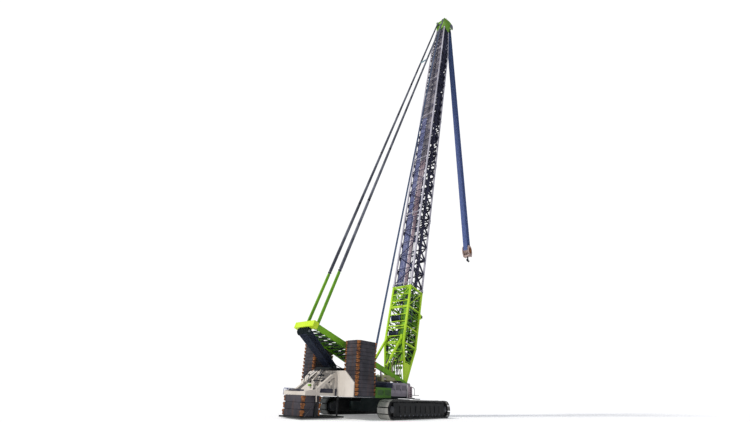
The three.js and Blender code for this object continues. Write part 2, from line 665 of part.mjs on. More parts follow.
/** The rear frame: a deep box behind the platform, wings beside it, and two sloping arms. */
function rearFrame() {
  const front = PLATFORM_REAR - SEAT;
  const step = platformTop + REAR_FRAME_STEP.height;
  const box = [
    [REAR_FRAME_REAR, REAR_BOTTOM], [front, REAR_BOTTOM], [front, step],
    [front - REAR_FRAME_STEP.length, step], [REAR_FRAME_TOP_FRONT, REAR_FRAME_TOP],
    [REAR_FRAME_REAR, REAR_FRAME_TOP],
  ];
  const arm = [
    [ARM_REAR, REAR_BOTTOM], [REAR_FRAME_REAR + 1, REAR_BOTTOM], [REAR_FRAME_REAR + 1, ARM_TOP.z],
    [ARM_TOP.x, ARM_TOP.z], [ARM_KNEE.x, ARM_KNEE.z], [ARM_REAR, ARM_REAR_TOP],
  ];
  const wings = [
    [-WING_HALF_WIDTH, REAR_BOTTOM], [WING_HALF_WIDTH, REAR_BOTTOM],
    [WING_HALF_WIDTH, WING_SHOULDER.z], [WING_SHOULDER.y, REAR_FRAME_TOP],
    [-WING_SHOULDER.y, REAR_FRAME_TOP], [-WING_HALF_WIDTH, WING_SHOULDER.z],
  ];
  const outer = REAR_FRAME_HALF_WIDTH;
  const wingFront = STACK_REAR - SEAT;
  return combine(
    [
      plate(box, -outer, outer),
      plateBehind(wings, wingFront - WING_THICKNESS, wingFront),
      plate(arm, -outer, ARM_THICKNESS - outer),
      plate(arm, outer - ARM_THICKNESS, outer),
      block([ARM_REAR, -outer, REAR_BOTTOM], [ARM_REAR + CROSS_SILL, outer, ARM_REAR_TOP]),
    ],
    [
      plate(ARM_WINDOW, -outer - 1, ARM_THICKNESS - outer + 1),
      plate(ARM_WINDOW, outer - ARM_THICKNESS - 1, outer + 1),
    ]
  );
}

/** A stack of slabs with cut corners: every joint shows as a groove at the front and the rear. */
function slabStack(rear, length, halfWidth, bottom, count, thickness) {
  const outline = [];
  const front = rear + length;
  for (let slab = 0; slab < count; slab++) {
    const low = bottom + slab * thickness;
    outline.push([front - SLAB_GROOVE, low], [front, low + SLAB_GROOVE / 2]);
    outline.push([front, low + thickness - SLAB_GROOVE / 2]);
  }
  outline.push([front - SLAB_GROOVE, bottom + count * thickness]);
  const back = outline.map(([x, z]) => [rear + front - x, z]).reverse();
  const cuts = [];
  for (const x of [rear, front]) {
    for (const y of [-halfWidth, halfWidth]) {
      cuts.push(barZ(SLAB_CORNER, bottom - 5, bottom + count * thickness + 5, x, y, 4));
    }
  }
  return combine([plate([...outline, ...back], -halfWidth, halfWidth)], cuts);
}

/** The low tray behind the crane, with the hangers and posts that reach up to the rear frame. */
function lowTray() {
  const half = REAR_FRAME_HALF_WIDTH;
  const top = REAR_BOTTOM - SEAT;
  const pieces = [
    block(
      [LOW_STACK_REAR - LOW_TRAY_LIP, -half, LOW_TRAY_BOTTOM],
      [LOW_TRAY_FRONT, half, lowTrayTop]
    ),
  ];
  for (const sign of [-1, 1]) {
    const y = [sign * (half - HANGER.thickness), sign * half].sort((a, b) => a - b);
    const reach = HANGER.width / 2;
    pieces.push(block([HANGER.x - reach, y[0], lowTrayTop - 1], [HANGER.x + reach, y[1], top]));
    const postY = sign * (half - ARM_THICKNESS / 2);
    pieces.push(barZ(TRAY_POST.radius, lowTrayTop - 1, top, TRAY_POST.x, postY, 16));
  }
  return combine(pieces);
}

add('rear_frame', rearFrame(), 'beige');
for (const [side, sign] of [['left', 1], ['right', -1]]) {
  const y = [sign * (REAR_FRAME_HALF_WIDTH + SEAT), sign * (STACK_INNER_Y + STACK_WIDTH)];
  y.sort((a, b) => a - b);
  add(`counterweight_carrier_${side}`, block(
    [STACK_REAR + 5, y[0], REAR_BOTTOM], [STACK_REAR + STACK_LENGTH - 5, y[1], carrierTop]
  ), 'beige');
  const stack = slabStack(
    STACK_REAR, STACK_LENGTH, STACK_WIDTH / 2, carrierTop + SEAT, SLAB_COUNT, SLAB_THICKNESS
  );
  stack.translate(0, sign * (STACK_INNER_Y + STACK_WIDTH / 2), 0);
  add(`counterweight_stack_${side}`, stack, 'slab');
}
add('low_ballast_tray', lowTray(), 'slab');
const lowSlab = (REAR_BOTTOM - lowTrayTop - 2 * SEAT) / LOW_SLAB_COUNT;
add('low_ballast_slabs', slabStack(
  LOW_STACK_REAR, LOW_STACK_LENGTH, LOW_STACK_HALF_WIDTH, lowTrayTop + SEAT, LOW_SLAB_COUNT, lowSlab
), 'slab');

/** Three sheaves on an axle between two plates, which run from foot to past the axle. */
function sheaveSet(x, z, foot, { halfFoot, reach }) {
  const { radius, axle, halfThickness, plate: thickness } = ROPE_SHEAVE;
  const tip = Math.sign(z - foot) * (axle + halfThickness + 2);
  const pieces = [barY(axle, -reach - 1, reach + 1, x, z, 16)];
  for (const share of [-0.6, 0, 0.6]) {
    pieces.push(barY(radius, share * reach - halfThickness, share * reach + halfThickness, x, z));
  }
  const outline = [
    [x - halfFoot, foot], [x + halfFoot, foot], [x + radius * 0.4, z + tip], [x - radius * 0.4, z + tip],
  ];
  for (const sign of [-1, 1]) {
    const [a, b] = [sign * reach, sign * (reach + thickness)].sort((p, q) => p - q);
    pieces.push(plate(outline, a, b));
  }
  return combine(pieces);
}

/** The fixed sheave set of the luffing tackle, in a bracket on the rear frame. */
function luffingSheaves() {
  const foot = REAR_FRAME_TOP + SEAT;
  return sheaveSet(LUFFING_SET.x, foot + LUFFING_SET.height, foot, LUFFING_SET);
}

add('luffing_sheaves', luffingSheaves(), 'black');

// ---------------------------------------------------------------- boom

const boom = new THREE.Group(); // X runs along the boom, Z to its rear
boom.position.set(boomFoot.x, 0, boomFoot.z);
boom.rotation.y = -THREE.MathUtils.degToRad(BOOM_ELEVATION);
group.add(boom);

/**
 * A lattice piece from start to end, with the width and depth it has at each of them. On the side
 * faces every diagonal rises from the front to the rear; on the others they change direction.
 */
function lattice(start, end, sizes, bays) {
  const [firstWidth, firstDepth, lastWidth, lastDepth] = sizes;
  const low = corners(start + CHORD / 2, firstWidth, firstDepth);
  const high = corners(end - CHORD / 2, lastWidth, lastDepth);
  const at = (corner, share) => low[corner].map((v, axis) => v + (high[corner][axis] - v) * share);
  const chordLow = corners(start, firstWidth, firstDepth);
  const chordHigh = corners(end, lastWidth, lastDepth);
  const pieces = [];
  for (let corner = 0; corner < 4; corner++) {
    const next = (corner + 1) % 4;
    pieces.push(member(chordLow[corner], chordHigh[corner], CHORD));
    for (let batten = 0; batten <= bays; batten++) {
      pieces.push(member(at(corner, batten / bays), at(next, batten / bays), LACING));
    }
    const sideFace = corner % 2 === 1;
    const frontFirst = corner === 1;
    for (let bay = 0; bay < bays; bay++) {
      const forwards = sideFace ? frontFirst : bay % 2 === 0;
      const [from, to] = forwards ? [corner, next] : [next, corner];
      pieces.push(member(at(from, bay / bays), at(to, (bay + 1) / bays), LACING));
    }
  }
  const past = [[start - CHORD, start], [end, end + CHORD]].map(([low, high]) =>
    block([low, -BOOM_WIDTH, -BOOM_DEPTH], [high, BOOM_WIDTH, BOOM_DEPTH])
  );
  return combine(pieces, past);
}

/** The butt: two feet that widen to the full depth, then four chords up to the first section. */
function butt() {
  const shoulder = corners(BUTT_SHOULDER, BOOM_WIDTH, BOOM_DEPTH);
  const top = corners(BUTT_LENGTH, BOOM_WIDTH, BOOM_DEPTH);
  const pieces = [];
  for (let corner = 0; corner < 4; corner++) {
    const next = (corner + 1) % 4;
    const [, y, z] = shoulder[corner];
    const foot = [10, y, Math.sign(z) * 12];
    pieces.push(member(foot, shoulder[corner], CHORD));
    pieces.push(member(shoulder[corner], top[corner], CHORD));
    const [, nextY, nextZ] = shoulder[next];
    for (const along of [BUTT_SHOULDER, ...BUTT_BATTENS, BUTT_LENGTH - CHORD / 2]) {
      pieces.push(member([along, y, z], [along, nextY, nextZ], BUTT_BATTEN));
    }
    pieces.push(member([BUTT_BATTENS[1], y, z], [BUTT_LENGTH - CHORD, nextY, nextZ], LACING));
  }
  const bores = [];
  for (const sign of [-1, 1]) {
    const [low, high] = [-1, 1].map((edge) => sign * boomLegY + (edge * FOOT_LUG_WIDTH) / 2);
    pieces.push(barY(LUG_RADIUS, low, high, 0, 0));
    const { length, halfDepth, halfFoot, inset } = BUTT_PLATE;
    pieces.push(plate(
      [[0, -halfFoot], [length, -halfDepth], [length, halfDepth], [0, halfFoot]], low + inset, high - inset
    ));
    bores.push(barY(FOOT_PIN_RADIUS + RUNNING_GAP, low - 5, high + 5, 0, 0));
  }
  const tie = BUTT_PLATE.length - 5;
  pieces.push(block(
    [tie, -boomLegY, -BUTT_TIE.halfDepth], [tie + BUTT_TIE.length, boomLegY, BUTT_TIE.halfDepth]
  ));
  return combine(pieces, bores);
}

/** A rope drum across the butt, with the plates that hold it to the rear chords. */
function buttWinch(along) {
  const reach = boomLegY - CHORD / 2 - SEAT;
  const { front, rear, halfBase, halfTop, thickness } = WINCH_PLATE;
  const flange = reach - thickness - 2;
  const pieces = [barY(WINCH_RADIUS - 10, 1 - reach, reach - 1, along, WINCH_REAR)];
  const outline = [
    [along - halfBase, front], [along + halfBase, front], [along + halfTop, rear], [along - halfTop, rear],
  ];
  for (const sign of [-1, 1]) {
    const [a, b] = [sign * (flange - DRUM_FLANGE.depth), sign * flange].sort((p, q) => p - q);
    pieces.push(barY(WINCH_RADIUS, a, b, along, WINCH_REAR));
    const [c, d] = [sign * (reach - thickness), sign * reach].sort((p, q) => p - q);
    pieces.push(plate(outline, c, d));
  }
  return combine(pieces);
}

/** A boom stop on one side: a tube and its rod, held to the rear chord by a bracket. */
function boomStop(sign) {
  const y = sign * STOP_OFFSET;
  const chordInner = sign * (boomLegY - CHORD / 2 - SEAT);
  const bracket = [sign * (STOP_OFFSET - STOP_TUBE / 2 + 3), chordInner].sort((a, b) => a - b);
  const at = ([along, rear]) => [along, y, rear];
  return combine([
    member(at(STOP_HEAD), at(STOP_MIDDLE), STOP_TUBE),
    member(at(STOP_MIDDLE), at(STOP_ROD_END), STOP_ROD),
    member(at(STOP_ROD_END), at(STOP_TIP), STOP_PAD),
    plate(STOP_BRACKET, ...bracket),
  ]);
}

const sectionsEnd = BUTT_LENGTH + SECTION_COUNT * SECTION_LENGTH;
const taperEnd = sectionsEnd + TAPER_LENGTH;
const boomEnd = taperEnd + HEAD_LENGTH;
const headAxle = { along: boomEnd - HEAD_AXLE.beforeEnd, rear: HEAD_AXLE.rear };
const pendantPin = { along: boomEnd - PENDANT_PIN.beforeEnd, rear: PENDANT_PIN.rear };

/** The boom's head: two side plates that hold the sheaves, with a back and a crown between them. */
function boomHead() {
  const start = taperEnd + SEAT;
  const half = HEAD_DEPTH / 2;
  const earTop = pendantPin.rear + PENDANT_EAR.past;
  const crown = HEAD_CROWN.map(([along, rear]) => [boomEnd + along, rear]);
  const crownInside = crown.map(([along, rear]) => [along - HEAD_PLATE, rear - HEAD_PLATE]).reverse();
  const outline = [
    [start, -half],
    ...HEAD_NOSE.map(([along, rear]) => [headAxle.along + along, headAxle.rear + rear]),
    ...crown,
    [pendantPin.along + PENDANT_EAR.halfLength, earTop],
    [pendantPin.along - PENDANT_EAR.halfLength, earTop],
    [start, half],
  ];
  const outer = HEAD_GAP + HEAD_PLATE;
  const pinEnd = PENDANT_OFFSET - PIN_OVERHANG;
  const pieces = [
    plate(outline, -outer, -HEAD_GAP),
    plate(outline, HEAD_GAP, outer),
    plate([...crown, ...crownInside], -outer, outer),
    block([start, -HEAD_WIDTH / 2, -half], [start + HEAD_COLLAR, HEAD_WIDTH / 2, half]),
    block([start, -outer, half - HEAD_PLATE], [boomEnd - HEAD_BACK, outer, half]),
    barY(PENDANT_PIN_RADIUS, pinEnd, HEAD_GAP + 1, pendantPin.along, pendantPin.rear),
    barY(PENDANT_PIN_RADIUS, -HEAD_GAP - 1, -pinEnd, pendantPin.along, pendantPin.rear),
  ];
  return combine(pieces);
}

/** A row of sheaves on one axle, between two plates whose inner faces are reach apart. */
function sheaveRow(x, z, reach) {
  const pieces = [barY(HEAD_AXLE.radius, -reach, reach, x, z, 20)];
  for (let sheave = 0; sheave < SHEAVE_COUNT; sheave++) {
    const y = (sheave - (SHEAVE_COUNT - 1) / 2) * SHEAVE_PITCH;
    pieces.push(barY(SHEAVE_RADIUS, y - SHEAVE_WIDTH / 2, y + SHEAVE_WIDTH / 2, x, z, 20));
  }
  return pieces;
}

add('boom_butt', butt(), 'green', boom);
WINCH_PLACES.forEach((along, index) => {
  add(['boom_winch_lower', 'boom_winch_upper'][index], buttWinch(along), 'steel', boom);
});
add('boom_stop_left', boomStop(1), 'green', boom);
add('boom_stop_right', boomStop(-1), 'green', boom);
for (let section = 0; section < SECTION_COUNT; section++) {
  const start = BUTT_LENGTH + section * SECTION_LENGTH + SEAT;
  const sizes = [BOOM_WIDTH, BOOM_DEPTH, BOOM_WIDTH, BOOM_DEPTH];
  const piece = lattice(start, start + SECTION_LENGTH - SEAT, sizes, SECTION_BAYS);
  add(`boom_section_${section + 1}`, piece, 'silver', boom);
}
const taperSizes = [BOOM_WIDTH, BOOM_DEPTH, HEAD_WIDTH, HEAD_DEPTH];
add('boom_taper', lattice(sectionsEnd + SEAT, taperEnd, taperSizes, SECTION_BAYS), 'silver', boom);
add('boom_head', boomHead(), 'green', boom);
const headRow = sheaveRow(headAxle.along, headAxle.rear, HEAD_GAP - SEAT);
add('head_sheaves', combine(headRow), 'black', boom);

// ---------------------------------------------------------------- mast and pendants

const mastAngle = Math.atan2(mastHead.z - mastFoot.z, mastHead.x - mastFoot.x);
const mastLength = Math.hypot(mastHead.x - mastFoot.x, mastHead.z - mastFoot.z);
const mast = new THREE.Group(); // X runs along the mast, Z to its underside
mast.position.set(mastFoot.x, 0, mastFoot.z);
mast.rotation.y = -mastAngle;
group.add(mast);

const crossbeamStart = mastLength + CROSSBEAM_GAP;
const crossbeamEnd = crossbeamStart + CROSSBEAM_LENGTH;
const legsInwards = (mastFootY - MAST_HEAD_OFFSET) / (crossbeamStart - MAST_FOOT_LENGTH);

/** The middle of a mast leg: its distance from the middle plane at one place along the mast. */
function mastLegY(along) {
  return mastFootY - Math.max(0, along - MAST_FOOT_LENGTH) * legsInwards;
}

/** The mast's two legs, which run together towards the head, with the tie between them. */
function mastFrame() {
  const half = MAST_LEG_WIDTH / 2;
  const depth = MAST_LEG_DEPTH / 2;
  const narrow = MAST_LUG_RADIUS - 2;
  const end = crossbeamStart - SEAT;
  const pieces = [];
  const bores = [];
  for (const sign of [-1, 1]) {
    const [low, high] = [sign * mastFootY - half, sign * mastFootY + half];
    pieces.push(barY(MAST_LUG_RADIUS, low, high, 0, 0));
    pieces.push(plate(
      [[0, -narrow], [MAST_FOOT_LENGTH, -depth], [MAST_FOOT_LENGTH, depth], [0, narrow]], low, high
    ));
    const slant = new THREE.Matrix4().set(
      1, 0, 0, 0, -sign * legsInwards, 1, 0, sign * legsInwards * MAST_FOOT_LENGTH, 0, 0, 1, 0, 0, 0, 0, 1
    );
    const leg = block([MAST_FOOT_LENGTH - 1, low, -depth], [end, high, depth]);
    pieces.push(leg.applyMatrix4(slant));
    bores.push(barY(FOOT_PIN_RADIUS + RUNNING_GAP, low - 5, high + 5, 0, 0));
  }
  const reach = mastLegY(MAST_TIE.along);
  pieces.push(block(
    [MAST_TIE.along, -reach, -MAST_TIE.depth / 2],
    [MAST_TIE.along + MAST_TIE.length, reach, MAST_TIE.depth / 2]
  ));
  return combine(pieces, bores);
}

/** The beam across the mast's head, with the lugs and pins that take the pendants. */
function mastCrossbeam() {
  const reach = CROSSBEAM_HALF_WIDTH;
  const half = CROSSBEAM_DEPTH / 2;
  const { thickness, radius } = CROSSBEAM_LUG;
  const pieces = [block([crossbeamStart, -reach, -half], [crossbeamEnd, reach, half])];
  const lugOuter = PENDANT_OFFSET - PENDANT_THICKNESS / 2 - SEAT;
  const pinEnd = PENDANT_OFFSET + PIN_OVERHANG;
  for (const sign of [-1, 1]) {
    const [low, high] = [sign * (lugOuter - thickness), sign * lugOuter].sort((a, b) => a - b);
    const [c, d] = [sign * (lugOuter - 1), sign * pinEnd].sort((a, b) => a - b);
    pieces.push(block([mastLength, low, -radius], [crossbeamStart + 4, high, radius]));
    pieces.push(barY(radius, low, high, mastLength, 0));
    pieces.push(barY(PENDANT_PIN_RADIUS, c, d, mastLength, 0, 20));
  }
  return combine(pieces);
}

/** The moving sheave set of the luffing tackle, in two plates under the crossbeam. */
function mastSheaves() {
  const foot = CROSSBEAM_DEPTH / 2 + SEAT;
  const x = (crossbeamStart + crossbeamEnd) / 2;
  return sheaveSet(x, foot + MAST_SET.height, foot, MAST_SET);
}

add('mast_frame', mastFrame(), 'green', mast);
add('mast_crossbeam', mastCrossbeam(), 'green', mast);
add('mast_sheaves', mastSheaves(), 'black', mast);

/** A point given along the boom and to its rear, as [x, z] in the crane's own frame. */
function onBoom({ along, rear }) {
  const angle = THREE.MathUtils.degToRad(BOOM_ELEVATION);
  return [
    boomFoot.x + along * Math.cos(angle) - rear * Math.sin(angle),
    boomFoot.z + along * Math.sin(angle) + rear * Math.cos(angle),
  ];
}

const [pendantTopX, pendantTopZ] = onBoom(pendantPin);
const pendantAngle = Math.atan2(pendantTopZ - mastHead.z, pendantTopX - mastHead.x);
const pendantLength = Math.hypot(pendantTopX - mastHead.x, pendantTopZ - mastHead.z);
const pendants = new THREE.Group(); // X runs from the mast's head to the boom's head
pendants.position.set(mastHead.x, 0, mastHead.z);
pendants.rotation.y = -pendantAngle;
group.add(pendants);

/** One pendant: a flat bar with an eye at each end. */
function pendant(sign) {
  const [low, high] = [-1, 1].map((edge) => sign * PENDANT_OFFSET + (edge * PENDANT_THICKNESS) / 2);
  const half = PENDANT_DEPTH / 2;
  const bar = block([0, low, -half], [pendantLength, high, half]);
  const eyes = [0, pendantLength].map((x) => barY(half + 7, low, high, x, 0));
  const bores = [
    barY(PENDANT_PIN_RADIUS + RUNNING_GAP, low - 5, high + 5, 0, 0),
    barY(PENDANT_PIN_RADIUS + OPEN_PIVOT_GAP, low - 5, high + 5, pendantLength, 0),
  ];
  return combine([bar, ...eyes], bores);
}

add('pendant_left', pendant(1), 'silver', pendants);
add('pendant_right', pendant(-1), 'silver', pendants);
const spreaderReach = PENDANT_OFFSET - PENDANT_THICKNESS / 2 - SEAT;
const spreaderX = pendantLength * SPREADER_SHARE;
add('pendant_spreader', block(
  [spreaderX - 9, -spreaderReach, -9], [spreaderX + 9, spreaderReach, 9]
), 'silver', pendants);

// ---------------------------------------------------------------- hoist falls and hook

const [fallsX, fallsTop] = onBoom(headAxle);

/** The falls: the ropes over the head's sheaves, down both sides to the hook block. */
function falls() {
  const inner = SHEAVE_RADIUS + SEAT;
  const outer = inner + FALLS_THICKNESS;
  const shape = new THREE.Shape();
  shape.absarc(0, 0, outer, 0, Math.PI, false);
  shape.lineTo(-outer, HOOK_AXLE_HEIGHT - fallsTop);
  shape.lineTo(-inner, HOOK_AXLE_HEIGHT - fallsTop);
  shape.absarc(0, 0, inner, Math.PI, 0, true);
  shape.lineTo(inner, HOOK_AXLE_HEIGHT - fallsTop);
  shape.lineTo(outer, HOOK_AXLE_HEIGHT - fallsTop);
  const ropes = extrudeAcross(shape, -FALLS_HALF_WIDTH, FALLS_HALF_WIDTH, WRAP_SEGMENTS);
  return ropes.translate(fallsX, 0, fallsTop);
}

const crossheadTop = -(SHEAVE_RADIUS + CROSSHEAD.drop); // heights here are from the hook block's axle
const crossheadBottom = crossheadTop - CROSSHEAD.height;
const hornCentre = crossheadBottom - HORN_DROP;

/** The hook block: cheeks, sheaves on their axle, and the crosshead for the hook's shank. */
function hookBlock() {
  const { halfLength, halfWidth } = CROSSHEAD;
  const pieces = sheaveRow(0, 0, CHEEK.inner + 2);
  const side = SHEAVE_RADIUS + CHEEK.past;
  const foot = crossheadBottom - CHEEK.below;
  const top = SHEAVE_RADIUS + CHEEK.above;
  const { halfFoot, halfTop } = CHEEK_END;
  const cheek = [
    [-side, -CHEEK.halfSide], [-halfFoot, foot], [halfFoot, foot], [side, -CHEEK.halfSide],
    [side, CHEEK.halfSide], [halfTop, top], [-halfTop, top], [-side, CHEEK.halfSide],
  ];
  pieces.push(plate(cheek, -CHEEK.outer, -CHEEK.inner));
  pieces.push(plate(cheek, CHEEK.inner, CHEEK.outer));
  pieces.push(block(
    [-halfLength, -halfWidth, crossheadBottom], [halfLength, halfWidth, crossheadTop]
  ));
  const bore = barZ(
    HOOK_SHANK_RADIUS + RUNNING_GAP, crossheadBottom - 5, crossheadTop + 5, 0, 0, 20
  );
  return combine(pieces, [bore]);
}

/** One horn of the double hook, an arc of round bar on the side that sign gives. */
function horn(sign) {
  const { radius, bar, steps, turn } = HORN;
  const points = [];
  for (let step = 0; step <= steps; step++) {
    const angle = Math.PI + (step / steps) * turn;
    points.push(new THREE.Vector3(
      sign * (radius + radius * Math.cos(angle)), 0, radius * Math.sin(angle)
    ));
  }
  const round = new THREE.Path();
  round.absarc(0, 0, bar, 0, 2 * Math.PI, false);
  return new THREE.ExtrudeGeometry(new THREE.Shape(round.getPoints(4)), {
    steps,
    extrudePath: new THREE.CatmullRomCurve3(points),
    bevelEnabled: false,
  });
}

/** The double hook with its shank and the nut that rests on the crosshead. */
function hook() {
  const { radius, height } = HOOK_NUT;
  const pieces = [
    barZ(HOOK_SHANK_RADIUS, crossheadBottom - 10, crossheadTop + 10, 0, 0, 20),
    barZ(radius, crossheadTop + SEAT, crossheadTop + height, 0, 0, 8),
    barZ(HOOK_BODY_RADIUS, hornCentre - 15, crossheadBottom - SEAT, 0, 0, 16),
  ];
  for (const sign of [-1, 1]) {
    pieces.push(horn(sign).translate(0, 0, hornCentre));
  }
  return combine(pieces);
}

const hanging = new THREE.Group();
hanging.position.set(fallsX, 0, HOOK_AXLE_HEIGHT);
group.add(hanging);
add('hoist_falls', falls(), 'rope');
add('hook_block', hookBlock(), 'darkGreen', hanging);
add('hook', hook(), 'black', hanging);

export default group;
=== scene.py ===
"""Visual model of the crawler crane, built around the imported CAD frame, in metres."""
import json
import logging
import math
from dataclasses import dataclass, field
from enum import Enum

import bmesh
import bpy
import numpy as np
from mathutils import Matrix, Vector


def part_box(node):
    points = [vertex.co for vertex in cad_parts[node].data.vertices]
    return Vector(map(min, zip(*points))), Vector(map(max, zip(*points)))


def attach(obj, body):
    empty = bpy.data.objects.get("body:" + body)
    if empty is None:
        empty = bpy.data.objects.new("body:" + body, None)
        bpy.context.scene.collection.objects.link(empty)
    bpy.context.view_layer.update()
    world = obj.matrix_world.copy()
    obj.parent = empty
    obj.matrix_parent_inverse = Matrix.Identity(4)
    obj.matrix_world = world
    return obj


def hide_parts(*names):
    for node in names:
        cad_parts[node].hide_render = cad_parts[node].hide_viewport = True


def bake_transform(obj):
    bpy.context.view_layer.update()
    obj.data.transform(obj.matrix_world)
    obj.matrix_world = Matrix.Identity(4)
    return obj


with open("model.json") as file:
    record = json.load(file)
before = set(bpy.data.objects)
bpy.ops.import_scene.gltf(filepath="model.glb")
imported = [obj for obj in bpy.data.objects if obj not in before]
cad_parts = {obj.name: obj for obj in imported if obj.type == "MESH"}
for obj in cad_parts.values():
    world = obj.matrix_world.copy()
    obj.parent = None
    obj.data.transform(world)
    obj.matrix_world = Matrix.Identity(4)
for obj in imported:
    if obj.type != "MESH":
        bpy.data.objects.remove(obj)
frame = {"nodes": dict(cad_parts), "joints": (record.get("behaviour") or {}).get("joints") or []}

Array = np.ndarray
Colour = tuple[float, float, float]
log = logging.getLogger("crane")
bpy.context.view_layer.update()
SLEW = next(entry for entry in frame["joints"] if entry["name"] == "slew")
HUB = np.array([SLEW["pos_m"][0], SLEW["pos_m"][1], 0.0])  # the slewing axis on the ground


# ---------------------------------------------------------------- shader graph


class Value:
    """A number on a shader socket. Arithmetic on it adds Math nodes to its graph."""

    def __init__(self, graph: "Graph", socket: bpy.types.NodeSocket) -> None:
        """Wraps one output socket of a graph."""
        self.graph = graph
        self.socket = socket

    def _math(self, operation: str, first: object, second: object) -> "Value":
        """Adds one Math node and wraps its result."""
        node = self.graph.node("ShaderNodeMath", {"operation": operation}, {0: first, 1: second})
        return Value(self.graph, node.outputs[0])

    def __add__(self, other: object) -> "Value":
        """Sum."""
        return self._math("ADD", self, other)

    def __radd__(self, other: object) -> "Value":
        """Sum with the value on the right."""
        return self._math("ADD", other, self)

    def __sub__(self, other: object) -> "Value":
        """Difference."""
        return self._math("SUBTRACT", self, other)

    def __rsub__(self, other: object) -> "Value":
        """Difference with the value on the right."""
        return self._math("SUBTRACT", other, self)

    def __mul__(self, other: object) -> "Value":
        """Product."""
        return self._math("MULTIPLY", self, other)

    def __rmul__(self, other: object) -> "Value":
        """Product with the value on the right."""
        return self._math("MULTIPLY", other, self)

    def sine(self) -> "Value":
        """Sine, in radians."""
        return self._math("SINE", self, 0.0)

    def larger(self, other: object) -> "Value":
        """The larger of two values."""
        return self._math("MAXIMUM", self, other)

    def ramp(self, low: float, high: float) -> "Value":
        """Smooth step: 0 at low, 1 at high, clamped outside; low may lie above high.

        Args:
            low: the value that gives 0.
            high: the value that gives 1.

        Returns:
            The step.
        """
        settings = {"interpolation_type": "SMOOTHSTEP", "clamp": True}
        node = self.graph.node("ShaderNodeMapRange", settings, {0: self, 1: low, 2: high})
        return Value(self.graph, node.outputs[0])


class Graph:
    """One material's node tree around a Principled shader."""

    def __init__(self, name: str) -> None:
        """Starts an empty node tree.

        Args:
            name: the material's name.
        """
        self.material = bpy.data.materials.new(name)
        self.material.use_nodes = True
        self.tree = self.material.node_tree
        self.tree.nodes.clear()
        coordinates = self.tree.nodes.new("ShaderNodeTexCoord")
        self.position = coordinates.outputs["Object"]
        self.surface_uv = coordinates.outputs["UV"]
        self.shader = self.tree.nodes.new("ShaderNodeBsdfPrincipled")
        output = self.tree.nodes.new("ShaderNodeOutputMaterial")
        self.tree.links.new(self.shader.outputs[0], output.inputs["Surface"])

    def node(self, kind: str, settings: dict, inputs: dict) -> bpy.types.Node:
        """Adds a node.

        Args:
            kind: the node's type name.
            settings: its properties, set before its sockets.
            inputs: a value or a link for each named or numbered input socket.

        Returns:
            The new node.
        """
        node = self.tree.nodes.new(kind)
        for key, value in settings.items():
            setattr(node, key, value)
        for key, value in inputs.items():
            self.feed(node.inputs[key], value)
        return node

    def feed(self, socket: bpy.types.NodeSocket, value: object) -> None:
        """Links a Value or a socket to an input, or sets a plain number or colour on it.

        Args:
            socket: the input.
            value: what it gets.
        """
        if isinstance(value, Value):
            value = value.socket
        if isinstance(value, bpy.types.NodeSocket):
            self.tree.links.new(value, socket)
        elif isinstance(value, tuple) and len(value) == 3 and socket.type == "RGBA":
            socket.default_value = (*value, 1.0)
        else:
            socket.default_value = value

    def axis(self, name: str) -> Value:
        """One component, X, Y or Z, of the place on the object."""
        split = self.node("ShaderNodeSeparateXYZ", {}, {0: self.position})
        return Value(self, split.outputs[name])

    def along(self, name: str) -> Value:
        """One component, X or Y, of the piece's own UV map."""
        split = self.node("ShaderNodeSeparateXYZ", {}, {0: self.surface_uv})
        return Value(self, split.outputs[name])

    def noise(self, scale: float, detail: float = 3.0, stretch: Colour = (1, 1, 1)) -> Value:
        """Noise over the place on the object.

        Args:
            scale: waves for each metre.
            detail: octaves.
            stretch: a factor on the place for each axis, below 1 to lengthen the grain.

        Returns:
            The noise, about 0.5 on average.
        """
        mapped = self.node("ShaderNodeMapping", {}, {"Vector": self.position, "Scale": stretch})
        inputs = {"Vector": mapped.outputs[0], "Scale": scale, "Detail": detail, "Roughness": 0.6}
        return Value(self, self.node("ShaderNodeTexNoise", {}, inputs).outputs["Fac"])

    def mix(self, factor: object, first: object, second: object) -> bpy.types.NodeSocket:
        """Mixes two colours: first at factor 0, second at factor 1."""
        node = self.node("ShaderNodeMix", {"data_type": "RGBA"}, {0: factor, 6: first, 7: second})
        return node.outputs[2]

    def finish(self, colour: object, roughness: object, metallic: object, relief: Value | None,
               depth: float = 0.001, gleam: float = 0.25) -> bpy.types.Material:
        """Feeds the Principled shader.

        Args:
            colour: base colour.
            roughness: roughness.
            metallic: metallic.
            relief: height field for the bump, or None for none.
            depth: height in metres of a relief of 1.
            gleam: level of the mirror-like reflection; 0.5 is plain plastic.

        Returns:
            The finished material.
        """
        self.feed(self.shader.inputs["Base Color"], colour)
        self.feed(self.shader.inputs["Roughness"], roughness)
        self.feed(self.shader.inputs["Metallic"], metallic)
        self.shader.inputs["Specular IOR Level"].default_value = gleam
        if relief is not None:
            bump = self.node("ShaderNodeBump", {}, {"Height": relief, "Distance": depth, "Strength": 0.6})
            self.feed(self.shader.inputs["Normal"], bump.outputs[0])
        return self.material


# ---------------------------------------------------------------- finishes


